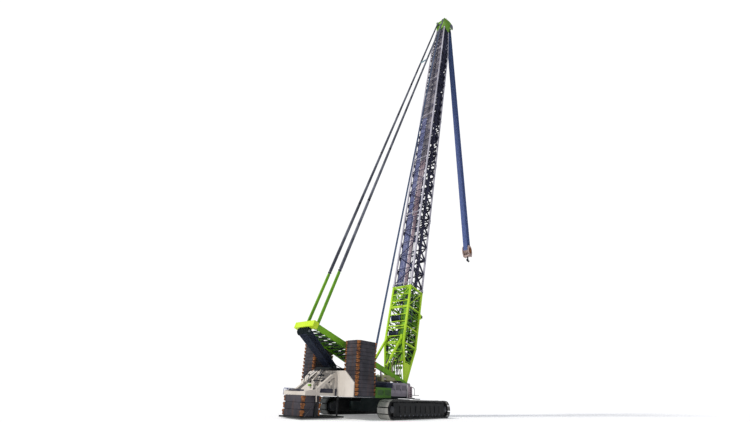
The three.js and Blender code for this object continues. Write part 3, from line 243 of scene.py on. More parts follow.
@dataclass(frozen=True)
class Paint:
    """Machine paint: it fades in broad patches, streaks downwards, chips and gathers dust."""

    name: str
    colour: Colour
    faded: Colour
    grime: Colour = (0.07, 0.06, 0.05)
    rust: Colour = (0.22, 0.09, 0.03)
    gloss: float = 0.42
    metal: float = 0.0
    dirt: float = 0.5
    wear: float = 0.5
    dusty: float = 0.35

    def make(self) -> bpy.types.Material:
        """Builds the material.

        Returns:
            The material.
        """
        graph = Graph(self.name)
        fade = graph.noise(2.6, 4).ramp(0.36, 0.66)
        streaks = graph.noise(26, 3, (1, 1, 0.09)).ramp(0.5, 0.72)
        patches = graph.noise(7, 5).ramp(0.42, 0.7)
        soot = streaks * patches * self.dirt
        chips = graph.noise(95, 4).ramp(0.66, 0.72) * graph.noise(9, 2).ramp(0.5, 0.64) * self.wear
        dust = graph.axis("Z").ramp(0.34, 0.0) * graph.noise(12, 4).ramp(0.34, 0.62) * self.dusty
        colour = graph.mix(fade, self.colour, self.faded)
        colour = graph.mix(soot, colour, self.grime)
        colour = graph.mix(dust, colour, (0.3, 0.27, 0.23))
        colour = graph.mix(chips, colour, self.rust)
        orange_peel = graph.noise(420, 2) * 0.35
        roughness = self.gloss + 0.3 * soot + 0.3 * dust + 0.25 * chips + 0.08 * fade
        return graph.finish(colour, roughness, self.metal, orange_peel - chips * 0.8, 0.0006)


@dataclass(frozen=True)
class CastSlab:
    """Cast slabs: rough dark metal with rust bleeding down the faces."""

    name: str
    colour: Colour = (0.030, 0.029, 0.036)
    pale: Colour = (0.078, 0.072, 0.084)
    rust: Colour = (0.13, 0.06, 0.035)
    rusty: float = 0.35

    def make(self) -> bpy.types.Material:
        """Builds the material.

        Returns:
            The material.
        """
        graph = Graph(self.name)
        skin = graph.noise(60, 6)
        mottle = graph.noise(9, 5).ramp(0.35, 0.68)
        bleed = graph.noise(34, 4, (1, 1, 0.12)).ramp(0.48, 0.7) * graph.noise(5, 3).ramp(0.4, 0.66)
        spots = graph.noise(130, 3).ramp(0.6, 0.72) * 0.5
        colour = graph.mix(mottle, self.colour, self.pale)
        colour = graph.mix((bleed + spots) * self.rusty, colour, self.rust)
        return graph.finish(colour, 0.62 + 0.3 * mottle, 0.25, skin, 0.0018)


@dataclass(frozen=True)
class RustySteel:
    """Bare rusty steel: orange and brown layers with dark pits."""

    name: str
    orange: Colour = (0.30, 0.112, 0.030)
    brown: Colour = (0.085, 0.034, 0.018)
    pale: Colour = (0.52, 0.31, 0.19)

    def make(self) -> bpy.types.Material:
        """Builds the material.

        Returns:
            The material.
        """
        graph = Graph(self.name)
        layers = graph.noise(30, 6).ramp(0.38, 0.64)
        bloom = graph.noise(80, 4).ramp(0.56, 0.72)
        colour = graph.mix(layers, self.orange, self.brown)
        colour = graph.mix(bloom * 0.6, colour, self.pale)
        return graph.finish(colour, 0.82 - 0.2 * bloom, 0.15, graph.noise(170, 4), 0.0012)


@dataclass(frozen=True)
class WornSteel:
    """Steel polished by use: bright where it rubs, dusty and stained elsewhere."""

    name: str
    bright: Colour = (0.42, 0.41, 0.38)
    stained: Colour = (0.16, 0.14, 0.12)
    metal: float = 0.7
    rubbed: float = 0.5

    def make(self) -> bpy.types.Material:
        """Builds the material.

        Returns:
            The material.
        """
        graph = Graph(self.name)
        scratches = graph.noise(48, 5, (1, 0.12, 1))
        stains = graph.noise(13, 5).ramp(0.5 * self.rubbed + 0.2, 0.5 * self.rubbed + 0.5)
        pits = graph.noise(150, 3).ramp(0.62, 0.72)
        colour = graph.mix(stains, self.bright, self.stained)
        colour = graph.mix(pits * 0.5, colour, (0.13, 0.08, 0.05))
        roughness = 0.34 + 0.3 * stains + 0.18 * scratches
        metallic = self.metal * (1 - 0.6 * stains)
        return graph.finish(colour, roughness, metallic, scratches + pits * -0.5, 0.0008)


@dataclass(frozen=True)
class WireRope:
    """Wire rope: strands that wind along the rope, greased between them."""

    name: str
    strand: Colour = (0.2, 0.24, 0.36)
    grease: Colour = (0.035, 0.04, 0.06)
    lay: float = 0.03
    # painted shade: how far the rope darkens to its grease colour towards the top
    shade: float = 0.0

    def make(self) -> bpy.types.Material:
        """Builds the material. The strands are a sine of the turn about the rope plus the way along it.
        Higher up, painted shade darkens the rope to its grease colour.

        Returns:
            The material.
        """
        graph = Graph(self.name)
        turns = 2 * math.pi / self.lay
        wave = (graph.along("X") * (6 * 2 * math.pi) + graph.along("Y") * turns).sine() * 0.5 + 0.5
        smear = graph.noise(22, 4).ramp(0.36, 0.68)
        colour = graph.mix(wave * (1 - 0.3 * smear), self.grease, self.strand)
        # painted shade, held in worn though it is no wear: from 5 m up to 8.6 m the rope darkens to its
        # grease colour, by the shade share
        worn = graph.axis("Z").ramp(5.0, 8.6) * self.shade
        colour = graph.mix(worn, colour, self.grease)
        return graph.finish(colour, 0.5 + 0.2 * smear, 0.1, wave, 0.0012)


@dataclass(frozen=True)
class PaneGlass:
    """Tinted cab glass with a film of dust."""

    name: str
    tint: Colour = (0.06, 0.08, 0.085)

    def make(self) -> bpy.types.Material:
        """Builds the material.

        Returns:
            The material.
        """
        graph = Graph(self.name)
        film = graph.noise(16, 5).ramp(0.4, 0.75)
        graph.feed(graph.shader.inputs["Alpha"], 0.42 + 0.16 * film)
        return graph.finish(graph.mix(film * 0.3, self.tint, (0.4, 0.38, 0.34)), 0.05 + 0.2 * film, 0.0, None)


@dataclass(frozen=True)
class SeatCloth:
    """Woven seat cloth: two crossed waves of thread with worn patches."""

    name: str
    colour: Colour = (0.03, 0.032, 0.037)
    worn: Colour = (0.075, 0.078, 0.085)
    threads: float = 900.0

    def make(self) -> bpy.types.Material:
        """Builds the material. The weave is the larger of a sine along X and one along Y and Z.

        Returns:
            The material.
        """
        graph = Graph(self.name)
        warp = (graph.axis("Y") * self.threads * 2).sine()
        weft = ((graph.axis("X") + graph.axis("Z")) * self.threads * 2).sine()
        rub = graph.noise(24, 4).ramp(0.45, 0.7)
        return graph.finish(graph.mix(rub, self.colour, self.worn), 0.86 + 0.1 * rub, 0.0,
                            warp.larger(weft), 0.0003)


@dataclass(frozen=True)
class Lamp:
    """A lamp lens: pale ribbed glass over a reflector."""

    name: str
    colour: Colour = (0.75, 0.76, 0.74)

    def make(self) -> bpy.types.Material:
        """Builds the material.

        Returns:
            The material.
        """
        graph = Graph(self.name)
        ribs = (graph.axis("Z") * 1600.0).sine() * 0.5 + 0.5
        return graph.finish(graph.mix(ribs * 0.5, self.colour, (0.5, 0.5, 0.5)), 0.12 + 0.1 * ribs, 0.1,
                            ribs, 0.0004)


class Finish(Enum):
    """Every finish on the crane. A member builds its material once, when it is first used."""

    LIME = Paint("lime_paint", (0.37, 0.62, 0.016), (0.50, 0.74, 0.05), gloss=0.55, wear=0.35, dirt=0.55)
    HEAD_GREEN = Paint("head_green_paint", (0.085, 0.215, 0.008), (0.20, 0.40, 0.035), (0.015, 0.04, 0.01),
                       gloss=0.55, wear=0.5, dirt=0.8)
    BRIGHT_LIME = Paint("bright_lime_paint", (0.52, 0.74, 0.02), (0.62, 0.80, 0.06), gloss=0.5, wear=0.3,
                        dirt=0.25)
    LEAF = Paint("leaf_paint", (0.11, 0.30, 0.008), (0.20, 0.44, 0.02), gloss=0.55, wear=0.45, dirt=0.6)
    BOX_GREEN = Paint("box_green_paint", (0.055, 0.17, 0.012), (0.08, 0.215, 0.022), gloss=0.55, dusty=0.1)
    SILVER = Paint("silver_paint", (0.40, 0.385, 0.44), (0.54, 0.52, 0.58), gloss=0.5, dirt=0.45)
    SLATE = Paint("slate_paint", (0.010, 0.011, 0.028), (0.035, 0.036, 0.07), gloss=0.6)
    GRATING = Paint("grating_paint", (0.085, 0.105, 0.235), (0.15, 0.165, 0.30), grime=(0.13, 0.10, 0.125),
                    gloss=0.6, dirt=0.8)
    ASH = Paint("ash_paint", (0.135, 0.125, 0.15), (0.25, 0.23, 0.255), grime=(0.03, 0.03, 0.045), gloss=0.6,
                dirt=0.9)
    DUSK = Paint("dusk_paint", (0.022, 0.023, 0.060), (0.06, 0.06, 0.125), gloss=0.6, dirt=0.5)
    TEAL = Paint("teal_paint", (0.055, 0.060, 0.080), (0.17, 0.18, 0.215), gloss=0.55, dirt=0.5)
    BLOCK = Paint("block_paint", (0.36, 0.26, 0.235), (0.46, 0.35, 0.31), rust=(0.10, 0.045, 0.02), dirt=0.7,
                  wear=1.0)
    BEIGE = Paint("beige_paint", (0.56, 0.51, 0.45), (0.68, 0.63, 0.57), gloss=0.55, dirt=0.45, wear=0.6)
    LILAC = Paint("lilac_paint", (0.27, 0.24, 0.28), (0.40, 0.36, 0.41), gloss=0.55, dirt=0.7, dusty=0.15)
    OLIVE = Paint("olive_paint", (0.19, 0.19, 0.075), (0.36, 0.35, 0.20), gloss=0.6, dirt=0.8, wear=0.6)
    ICE = Paint("ice_paint", (0.16, 0.28, 0.33), (0.30, 0.44, 0.50), gloss=0.5, dirt=0.5)
    ROSE = Paint("rose_paint", (0.26, 0.18, 0.21), (0.48, 0.39, 0.43), gloss=0.5, dirt=0.8)
    BLACK = Paint("black_paint", (0.005, 0.006, 0.007), (0.013, 0.015, 0.017), gloss=0.6, dirt=0.3,
                  dusty=0.04)
    DEEP = Paint("deep_teal_paint", (0.006, 0.012, 0.014), (0.015, 0.028, 0.030), gloss=0.6, dirt=0.3,
                 dusty=0.05)
    GUN = Paint("gun_grey_paint", (0.022, 0.026, 0.034), (0.05, 0.056, 0.07), gloss=0.55, dusty=0.1)
    NIGHT = Paint("night_blue_paint", (0.020, 0.026, 0.052), (0.045, 0.058, 0.10), gloss=0.6, dirt=0.6)
    WHITE = Paint("white_paint", (0.66, 0.66, 0.65), (0.76, 0.76, 0.75), gloss=0.4, dirt=0.3)
    RUBBER = Paint("rubber_hose", (0.008, 0.008, 0.010), (0.02, 0.02, 0.023), gloss=0.65, wear=0.1)
    SLAB = CastSlab("cast_slab")
    RUST = RustySteel("rusty_lug")
    SHOE = WornSteel("shoe_steel", bright=(0.40, 0.395, 0.36), stained=(0.17, 0.165, 0.15), metal=0.2,
                     rubbed=0.9)
    # painted shade: the left track's shoe steel, much darker than the right's, as if that track lay in the
    # crane's shadow
    MUDDY_SHOE = WornSteel("shaded_shoe_steel", bright=(0.045, 0.050, 0.050), stained=(0.016, 0.018, 0.018),
                           metal=0.2, rubbed=0.9)
    LINK = WornSteel("link_steel", bright=(0.030, 0.030, 0.031), stained=(0.010, 0.010, 0.010), metal=0.2)
    STEEL = WornSteel("machined_steel", bright=(0.2, 0.215, 0.25), stained=(0.07, 0.07, 0.08))
    DRUM = WornSteel("drum_steel", bright=(0.10, 0.125, 0.20), stained=(0.035, 0.045, 0.075), metal=0.3)
    # painted shade 0.8: the falls and the ropes inside the boom darken towards the top
    ROPE = WireRope("wire_rope", strand=(0.175, 0.215, 0.48), grease=(0.050, 0.095, 0.22), shade=0.8)
    DARK_ROPE = WireRope("dark_wire_rope", strand=(0.028, 0.040, 0.075), grease=(0.008, 0.011, 0.022))
    HOIST_ROPE = WireRope("hoist_wire_rope", strand=(0.11, 0.17, 0.30), grease=(0.03, 0.045, 0.09))
    GLASS = PaneGlass("cab_glass")
    CLOTH = SeatCloth("seat_cloth")
    LENS = Lamp("lamp_lens")

    def material(self) -> bpy.types.Material:
        """The finish's material, made once."""
        return bpy.data.materials.get(self.value.name) or self.value.make()


# ---------------------------------------------------------------- surfaces


@dataclass(frozen=True)
class Place:
    """A local frame: an origin and the directions of its three axes, in metres."""

    origin: tuple = (0.0, 0.0, 0.0)
    x: tuple = (1.0, 0.0, 0.0)
    y: tuple = (0.0, 1.0, 0.0)
    z: tuple = (0.0, 0.0, 1.0)

    def at(self, points: Array) -> Array:
        """Local points as points of the crane's frame: origin + p_x x + p_y y + p_z z."""
        axes = np.array([self.x, self.y, self.z], float)
        return np.array(self.origin, float) + np.asarray(points, float) @ axes


WORLD = Place()


def spread(x: object, y: object, z: object) -> Array:
    """Points from their three coordinates; a single number is used for every point."""
    return np.stack(np.broadcast_arrays(x, y, z), axis=-1)


def ring(count: int, start: float = 0.0) -> Array:
    """Unit circle: the cosines and sines of count even angles from start, as (count, 2)."""
    angles = start + np.arange(count) * 2 * math.pi / count
    return np.stack([np.cos(angles), np.sin(angles)], axis=-1)


BOX_CORNERS = np.array([[0, 0, 0], [1, 0, 0], [1, 1, 0], [0, 1, 0],
                        [0, 0, 1], [1, 0, 1], [1, 1, 1], [0, 1, 1]], float)
BOX_FACES = np.array([[0, 3, 2, 1], [4, 5, 6, 7], [0, 1, 5, 4], [1, 2, 6, 5], [2, 3, 7, 6], [3, 0, 4, 7]])
SMOOTH_BELOW = math.radians(38)  # edges that bend more than this are drawn sharp
ROUND_ABOVE = math.radians(40)  # edges that bend more than this are rounded


def round_edges(piece: bpy.types.Object, width: float) -> bpy.types.Modifier:
    """Adds a modifier that rounds a piece's sharp edges by a width in metres.

    Args:
        piece: the piece.
        width: width of the rounding.

    Returns:
        The modifier.
    """
    rounding = piece.modifiers.new("edges", "BEVEL")
    rounding.width = width
    rounding.segments = 2
    rounding.limit_method = "ANGLE"
    rounding.angle_limit = ROUND_ABOVE
    return rounding


class Surface:
    """Points and faces gathered from many shapes, made into one mesh at the end."""

    def __init__(self, place: Place = WORLD) -> None:
        """Starts empty.

        Args:
            place: the local frame that the shapes' points are given in.
        """
        self.place = place
        self.points: list[Array] = []
        self.uvs: list[Array] = []
        self.faces: list[tuple[Array, int]] = []
        self.finishes: list[Finish] = []
        self.count = 0

    def _slot(self, finish: Finish) -> int:
        """The number of a finish's material slot, added on first use.

        Args:
            finish: the finish.

        Returns:
            The slot's number.
        """
        if finish not in self.finishes:
            self.finishes.append(finish)
        return self.finishes.index(finish)

    def add(self, points: Array, faces: list[Array], finish: Finish, uvs: Array | None = None) -> None:
        """Adds points with their faces.

        Args:
            points: (n, 3) local points.
            faces: arrays of point numbers, one row for each face.
            finish: the faces' finish.
            uvs: (n, 2) surface coordinates of the points, or None.
        """
        points = np.asarray(points, float).reshape(-1, 3)
        slot = self._slot(finish)
        self.points.append(self.place.at(points))
        self.uvs.append(np.zeros((len(points), 2)) if uvs is None else np.asarray(uvs).reshape(-1, 2))
        self.faces.extend((np.asarray(face) + self.count, slot) for face in faces)
        self.count += len(points)

    def grid(self, points: Array, finish: Finish, wrap: bool = True, caps: bool = True,
             uvs: Array | None = None) -> None:
        """Adds a grid surface: rows along it, columns around it.

        Args:
            points: (rows, columns, 3) local points.
            finish: the finish.
            wrap: whether the last column joins the first.
            caps: whether the first and last rows are closed with a flat face.
            uvs: (rows, columns, 2) surface coordinates, or None.
        """
        rows, columns = points.shape[:2]
        number = np.arange(rows * columns).reshape(rows, columns)
        step = np.roll(number, -1, axis=1) if wrap else number[:, 1:]
        here = number if wrap else number[:, :-1]
        quads = np.stack([here[:-1], step[:-1], step[1:], here[1:]], axis=-1).reshape(-1, 4)
        faces = [quads]
        if caps:
            faces += [number[:1, ::-1], number[-1:]]
        self.add(points, faces, finish, uvs)

    def tubes(self, starts: Array, ends: Array, radius: float, finish: Finish, sides: int = 8) -> None:
        """Adds straight round bars, many at once.

        Each bar's points are start or end plus radius times (cos a side + sin a up), where side and
        up are two directions square to the bar.

        Args:
            starts: (n, 3) first ends.
            ends: (n, 3) last ends.
            radius: the bars' radius.
            finish: the finish.
            sides: facets around a bar.
        """
        starts, ends = np.atleast_2d(np.asarray(starts, float)), np.atleast_2d(np.asarray(ends, float))
        along = ends - starts
        length = np.linalg.norm(along, axis=1, keepdims=True)
        along = along / length
        helper = np.where(np.abs(along[:, 1:2]) > 0.9, [[0.0, 0.0, 1.0]], [[0.0, 1.0, 0.0]])
        side = np.cross(along, helper)
        side /= np.linalg.norm(side, axis=1, keepdims=True)
        up = np.cross(along, side)
        circle = ring(sides)
        offset = radius * (circle[None, :, :1] * side[:, None] + circle[None, :, 1:] * up[:, None])
        points = np.stack([starts[:, None] + offset, ends[:, None] + offset], axis=1)
        bars = len(starts)
        number = np.arange(bars * 2 * sides).reshape(bars, 2, sides)
        step = np.roll(number, -1, axis=2)
        quads = np.stack([number[:, 0], step[:, 0], step[:, 1], number[:, 1]], axis=-1).reshape(-1, 4)
        turn = np.tile(np.arange(sides) / sides, (bars, 2, 1))
        way = np.stack([np.zeros((bars, sides)), np.repeat(length, sides, axis=1)], axis=1)
        uvs = np.stack([turn, way], axis=-1)
        self.add(points, [quads, number[:, 0, ::-1], number[:, 1]], finish, uvs)

    def sweep(self, path: Array, radii: object, finish: Finish, sides: int = 10) -> None:
        """Adds a round bar along a path.

        A ring of the given radius stands square to the path at each point; its first direction is
        carried along the path without twist.

        Args:
            path: (n, 3) points.
            radii: one radius, or one for each point.
            finish: the finish.
            sides: facets around the bar.
        """
        path = np.asarray(path, float)
        radii = np.broadcast_to(np.asarray(radii, float), (len(path),))
        tangent = np.gradient(path, axis=0)
        tangent /= np.linalg.norm(tangent, axis=1, keepdims=True)
        side = np.cross(tangent[0], (0.0, 1.0, 0.0) if abs(tangent[0][1]) < 0.9 else (0.0, 0.0, 1.0))
        sides_list = []
        for direction in tangent:
            side = side - direction * side.dot(direction)
            side = side / np.linalg.norm(side)
            sides_list.append(side)
        across = np.array(sides_list)
        up = np.cross(tangent, across)
        circle = ring(sides)
        offset = circle[None, :, :1] * across[:, None] + circle[None, :, 1:] * up[:, None]
        points = path[:, None] + radii[:, None, None] * offset
        way = np.concatenate([[0.0], np.cumsum(np.linalg.norm(np.diff(path, axis=0), axis=1))])
        turn = np.tile(np.arange(sides) / sides, (len(path), 1))
        uvs = np.stack([turn, np.repeat(way[:, None], sides, axis=1)], axis=-1)
        self.grid(points, finish, uvs=uvs)

    def lathe(self, profile: Array, centre: Array, axis: str, finish: Finish, segments: int = 32) -> None:
        """Adds a turned shape: a profile of (way along the axis, radius) turned about the axis.

        Args:
            profile: (n, 2) points; the ends are closed with flat faces.
            centre: the local point that the way along the axis starts from.
            axis: "x", "y" or "z".
            finish: the finish.
            segments: facets around.
        """
        profile = np.asarray(profile, float)
        circle = ring(segments)
        first, second = {"x": (1, 2), "y": (2, 0), "z": (0, 1)}[axis]
        points = np.zeros((len(profile), segments, 3))
        points[..., "xyz".index(axis)] = profile[:, :1]
        points[..., first] = profile[:, 1:] * circle[None, :, 0]
        points[..., second] = profile[:, 1:] * circle[None, :, 1]
        self.grid(points + np.asarray(centre, float), finish)

    def prism(self, outline: Array, low: float, high: float, finish: Finish, axis: str = "y") -> None:
        """Adds a plate: an outline drawn out along one axis.

        Args:
            outline: (n, 2) points in the other two axes, in X, Y, Z order.
            low: where the plate starts on the axis.
            high: where it ends.
            finish: the finish.
            axis: "x", "y" or "z".
        """
        outline = np.asarray(outline, float)
        where = "xyz".index(axis)
        others = [index for index in range(3) if index != where]
        points = np.zeros((2, len(outline), 3))
        points[0, :, where], points[1, :, where] = low, high
        points[:, :, others[0]], points[:, :, others[1]] = outline[:, 0], outline[:, 1]
        self.grid(points, finish)

    def boxes(self, lows: Array, highs: Array, finish: Finish) -> None:
        """Adds boxes between pairs of corners, (n, 3) each.

        Args:
            lows: the lowest corners.
            highs: the highest corners.
            finish: the finish.
        """
        lows, highs = np.atleast_2d(np.asarray(lows, float)), np.atleast_2d(np.asarray(highs, float))
        points = lows[:, None] + BOX_CORNERS[None] * (highs - lows)[:, None]
        number = np.arange(len(lows))[:, None, None] * 8 + BOX_FACES[None]
        self.add(points, [number.reshape(-1, 4)], finish)

    def build(self, name: str, body: str, replaces: tuple[str, ...] = (), bevel: float = 0.0,
              blend: tuple | None = None) -> bpy.types.Object:
        """Makes the mesh object and gives it to its body, unless it has a blend.

        Args:
            name: the piece's name.
            body: the CAD body that it rides on.
            replaces: the CAD nodes that it stands for.
            bevel: width of the rounded edges, or 0 for none.
            blend: (first body, second body, start, end) for a rope that joins two bodies; only whether it is
                given is read, and such a piece stays where it is built, on no body.

        Returns:
            The new object.
        """
        mesh = bpy.data.meshes.new(name)
        points = (np.concatenate(self.points) + HUB).astype(np.float32)
        sizes = np.concatenate([np.full(len(face), face.shape[1]) for face, _ in self.faces])
        slots = np.concatenate([np.full(len(face), slot) for face, slot in self.faces])
        corners = np.concatenate([face.ravel() for face, _ in self.faces])
        mesh.vertices.add(len(points))
        mesh.vertices.foreach_set("co", points.ravel())
        mesh.loops.add(len(corners))
        mesh.loops.foreach_set("vertex_index", corners.astype(np.int32))
        mesh.polygons.add(len(sizes))
        starts = np.concatenate([[0], np.cumsum(sizes)[:-1]])
        mesh.polygons.foreach_set("loop_start", starts.astype(np.int32))
        mesh.polygons.foreach_set("material_index", slots.astype(np.int32))
        mesh.polygons.foreach_set("use_smooth", np.ones(len(sizes), bool))
        layer = mesh.uv_layers.new(name="surface")
        layer.data.foreach_set("uv", np.concatenate(self.uvs)[corners].astype(np.float32).ravel())
        mesh.update(calc_edges=True)
        mesh.validate()
        for finish in self.finishes:
            mesh.materials.append(finish.material())
        shape = bmesh.new()
        shape.from_mesh(mesh)
        bmesh.ops.recalc_face_normals(shape, faces=shape.faces)
        shape.to_mesh(mesh)
        shape.free()
        mesh.set_sharp_from_angle(angle=SMOOTH_BELOW)
        piece = bpy.data.objects.new(name, mesh)
        bpy.context.scene.collection.objects.link(piece)
        if bevel:
            round_edges(piece, bevel).harden_normals = False
        if blend:
            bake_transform(piece)
        else:
            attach(piece, body)
        if replaces:
            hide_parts(*replaces)
        log.info("%s: %d faces on %s", name, len(mesh.polygons), body)
        return piece


# ---------------------------------------------------------------- the CAD frame


def pivot(name: str) -> Array:
    """A joint's place, measured from the slewing axis on the ground."""
    entry = next(entry for entry in frame["joints"] if entry["name"] == name)
    return np.array(entry["pos_m"]) - HUB


def boom_place() -> Place:
    """The boom's frame: X from the foot pin to the tip, Y to the left, Z to the boom's rear.

    The head's axle lies a known way in front of the boom's middle line, so the boom's slope is the
    slope of the line from foot pin to axle plus the angle whose sine is that way over its length.

    Returns:
        The frame.
    """
    foot = pivot("boom_luff")
    reach = pivot("falls_swing") - foot
    slope = math.atan2(reach[2], reach[0]) + math.asin(AXLE_FRONT / float(np.linalg.norm(reach)))
    c, s = math.cos(slope), math.sin(slope)
    return Place(tuple(foot), (c, 0.0, s), (0.0, 1.0, 0.0), (-s, 0.0, c))


def line_place(start: Array, end: Array) -> Place:
    """A frame whose X runs from start to end, with Y to the left and Z square to both.

    Args:
        start: the frame's origin.
        end: a point ahead of it.

    Returns:
        The frame.
    """
    along = np.asarray(end, float) - np.asarray(start, float)
    along[1] = 0.0
    c, _, s = along / np.linalg.norm(along)
    return Place(tuple(start), (c, 0.0, s), (0.0, 1.0, 0.0), (-s, 0.0, c))


AXLE_FRONT = 0.235  # the head's axle to the boom's middle line
BOOM = boom_place()
MAST_FOOT = pivot("mast_luff")
MAST_HEAD = pivot("pendant_swing")
MAST = line_place(MAST_FOOT, MAST_HEAD)
HEAD_AXLE = pivot("falls_swing")


def dress(node: str, finish: Finish, edge: float = 0.0015) -> None:
    """Gives a CAD node its finish and rounds its edges.

    Args:
        node: the node's name.
        finish: the finish.
        edge: width of the rounded edges in metres, or 0 for none.
    """
    piece = frame["nodes"][node]
    piece.data.materials.clear()
    piece.data.materials.append(finish.material())
    if edge:
        weld = piece.modifiers.new("weld", "WELD")
        weld.merge_threshold = 0.00002
        round_edges(piece, edge)


def limits(node: str) -> tuple[Array, Array]:
    """Lowest and highest corner of a CAD node at rest, measured from the slewing axis."""
    low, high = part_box(node)
    return np.array(low) - HUB, np.array(high) - HUB


# ---------------------------------------------------------------- boom


@dataclass
class BoomLattice:
    """The boom's five lattice sections and its tapered top section, in the boom's frame."""

    start: float = 1.2
    section: float = 1.2
    sections: int = 5
    bays: int = 5
    taper_end: float = 8.25
    half_width: float = 0.140
    half_depth: float = 0.130
    top_half_width: float = 0.105
    top_half_depth: float = 0.095
    chord: float = 0.0145
    lacing: float = 0.0092
    walk_left: float = 0.116
    rung_pitch: float = 0.020
    batten_inset: float = 0.045
    lug: float = 0.0135
    lug_length: float = 0.042

    @property
    def taper_start(self) -> float:
        """Where the top section starts to taper."""
        return self.start + self.section * self.sections

    def corner(self, along: Array, side: Array, rear: Array) -> Array:
        """Points on the chord lines.

        The lattice keeps its width and depth up to the taper, then both run straight to the head's.

        Args:
            along: distances along the boom.
            side: 1 for the left chords, -1 for the right ones, or a share between.
            rear: 1 for the rear chords, -1 for the front ones, or a share between.

        Returns:
            (n, 3) points.
        """
        along = np.atleast_1d(np.asarray(along, float))
        share = np.clip((along - self.taper_start) / (self.taper_end - self.taper_start), 0, 1)
        width = self.half_width + (self.top_half_width - self.half_width) * share
        depth = self.half_depth + (self.top_half_depth - self.half_depth) * share
        return spread(along, side * width, rear * depth)

    def stations(self, begin: float, end: float, bays: int) -> Array:
        """The places of the battens between two joints, both ends included."""
        return np.linspace(begin + self.batten_inset, end - self.batten_inset, bays + 1)

    def one_section(self, name: str, node: str, begin: float, end: float, bays: int) -> None:
        """Builds one section: chords, joint lugs and pins, battens, diagonals and a walkway.

        Args:
            name: the piece's name.
            node: the CAD node that it stands for.
            begin: where it starts along the boom.
            end: where it ends.
            bays: how many bays it has.
        """
        shape = Surface(BOOM)
        places = self.stations(begin, end, bays)
        low, high = places[:-1], places[1:]
        for side in (-1, 1):
            for rear in (-1, 1):
                ends = self.corner([begin + 0.03, end - 0.03], side, rear)
                shape.tubes(ends[:1], ends[1:], self.chord, Finish.SILVER, 12)
                for where, sign in ((begin, 1), (end, -1)):
                    centre = self.corner(where, side, rear)[0]
                    shape.boxes(centre + [min(0, sign * self.lug_length), -self.lug, -self.lug],
                                centre + [max(0, sign * self.lug_length), self.lug, self.lug], Finish.SILVER)
                pin = self.corner(begin, side, rear)
                shape.tubes(pin - [0, 0.019, 0], pin + [0, 0.019, 0], 0.0085, Finish.STEEL, 12)
            shape.tubes(self.corner(high, side, 1), self.corner(low, side, -1), self.lacing * 1.35,
                        Finish.SLATE, 8)
            shape.tubes(self.corner(places, side, 1), self.corner(places, side, -1),
                        self.lacing * 1.05, Finish.SLATE, 8)
        for rear, thin, finish in ((-1, 1.1, Finish.SLATE), (1, 0.62, Finish.DUSK)):
            flip = np.where(np.arange(bays) % 2 == 0, 1, -1)
            shape.tubes(self.corner(low, flip, rear), self.corner(high, -flip, rear), self.lacing * thin,
                        finish, 8)
            shape.tubes(self.corner(places, -1, rear), self.corner(places, 1, rear), self.lacing * thin,
                        finish, 8)
        for rear in (-1, 1):
            shape.tubes(self.corner(places[0], -1, rear), self.corner(places[0], 1, rear), 0.0072,
                        Finish.SILVER, 10)
        self.tray(shape, begin + 0.02, end - 0.01)
        self.walkway(shape, begin + 0.012, end - 0.004)
        shape.build(name, "boom", (node,))

    def tray(self, shape: Surface, begin: float, end: float) -> None:
        """Adds the dark slats and cables inside the front face, closer together up the boom.

        Args:
            shape: where they are added.
            begin: where they start along the boom.
            end: where they end.
        """
        rng = np.random.default_rng(int(begin * 1000))
        slats = np.arange(begin, end, 0.030)
        cover = np.interp(slats, [1.2, 3.4, 4.8, 7.2], [0.22, 0.45, 0.82, 0.97])
        keep = rng.random((2, len(slats))) < cover
        for row, (inner, outer) in enumerate(((0.02, 0.93), (-0.93, 0.02))):
            where = slats[keep[row]]
            edge = self.corner(where, 1, -0.86)
            shape.boxes(spread(where - 0.0125, edge[:, 1] * inner, edge[:, 2] - 0.002),
                        spread(where + 0.0125, edge[:, 1] * outer, edge[:, 2] + 0.002),
                        Finish.SLATE if row else Finish.DUSK)
        for side, rear in ((-0.62, -0.55), (-0.45, -0.60), (-0.80, -0.2), (-0.30, -0.62), (0.1, -0.66)):
            ends = self.corner([begin, end], side, rear)
            shape.tubes(ends[:1], ends[1:], 0.0075, Finish.DUSK, 8)

    def walkway(self, shape: Surface, begin: float, end: float) -> None:
        """Adds the walkway inside the rear face: closely set rungs, stringers, brackets and a rail.

        It widens up the boom: its right edge goes from near the middle to near the right chord.

        Args:
            shape: where it is added.
            begin: where it starts along the boom.
            end: where it ends.
        """
        rungs = np.arange(begin, end, self.rung_pitch)
        corner = self.corner(rungs, 1, 1)
        height, reach = corner[:, 2] - 0.024, corner[:, 1] - 0.022
        left = np.minimum(self.walk_left, reach)
        right = np.maximum(np.interp(rungs, [1.2, 3.0, 4.6], [-0.062, -0.078, -0.120]), -reach)
        finish = Finish.GRATING if begin < 4.5 else Finish.ASH
        split = 0.62 if begin < 2.3 else 0.44
        for low, high, part in ((left * (1 - split) + right * split, left, finish),
                                (right, left * (0.96 - split) + right * (0.04 + split),
                                 Finish.ROSE if begin < 3.5 else Finish.ASH)):
            shape.boxes(spread(rungs - 0.0084, low, height - 0.003),
                        spread(rungs + 0.0084, high, height), part)
        for edge in (left, right, left * 0.48 + right * 0.52):
            path = spread(rungs, edge, height)
            shape.tubes(path[:1], path[-1:], 0.0048, Finish.SLATE, 6)
        posts = np.arange(begin + 0.05, end - 0.02, 0.16)
        foot = self.corner(posts, 1, 1) * [1, 0.5, 1] - [0, 0, 0.024]
        shape.tubes(foot, foot - [0, 0, 0.075], 0.003, Finish.SLATE, 6)
        shape.tubes(foot[:1] - [0, 0, 0.075], foot[-1:] - [0, 0, 0.075], 0.0032, Finish.ROSE, 6)

    def build(self) -> None:
        """Builds the five sections and the tapered top section."""
        for index in range(self.sections):
            begin = self.start + index * self.section
            self.one_section(f"lattice_{index + 1}", f"boom_section_{index + 1}", begin,
                             begin + self.section, self.bays)
        self.one_section("lattice_top", "boom_taper", self.taper_start, self.taper_end, 6)


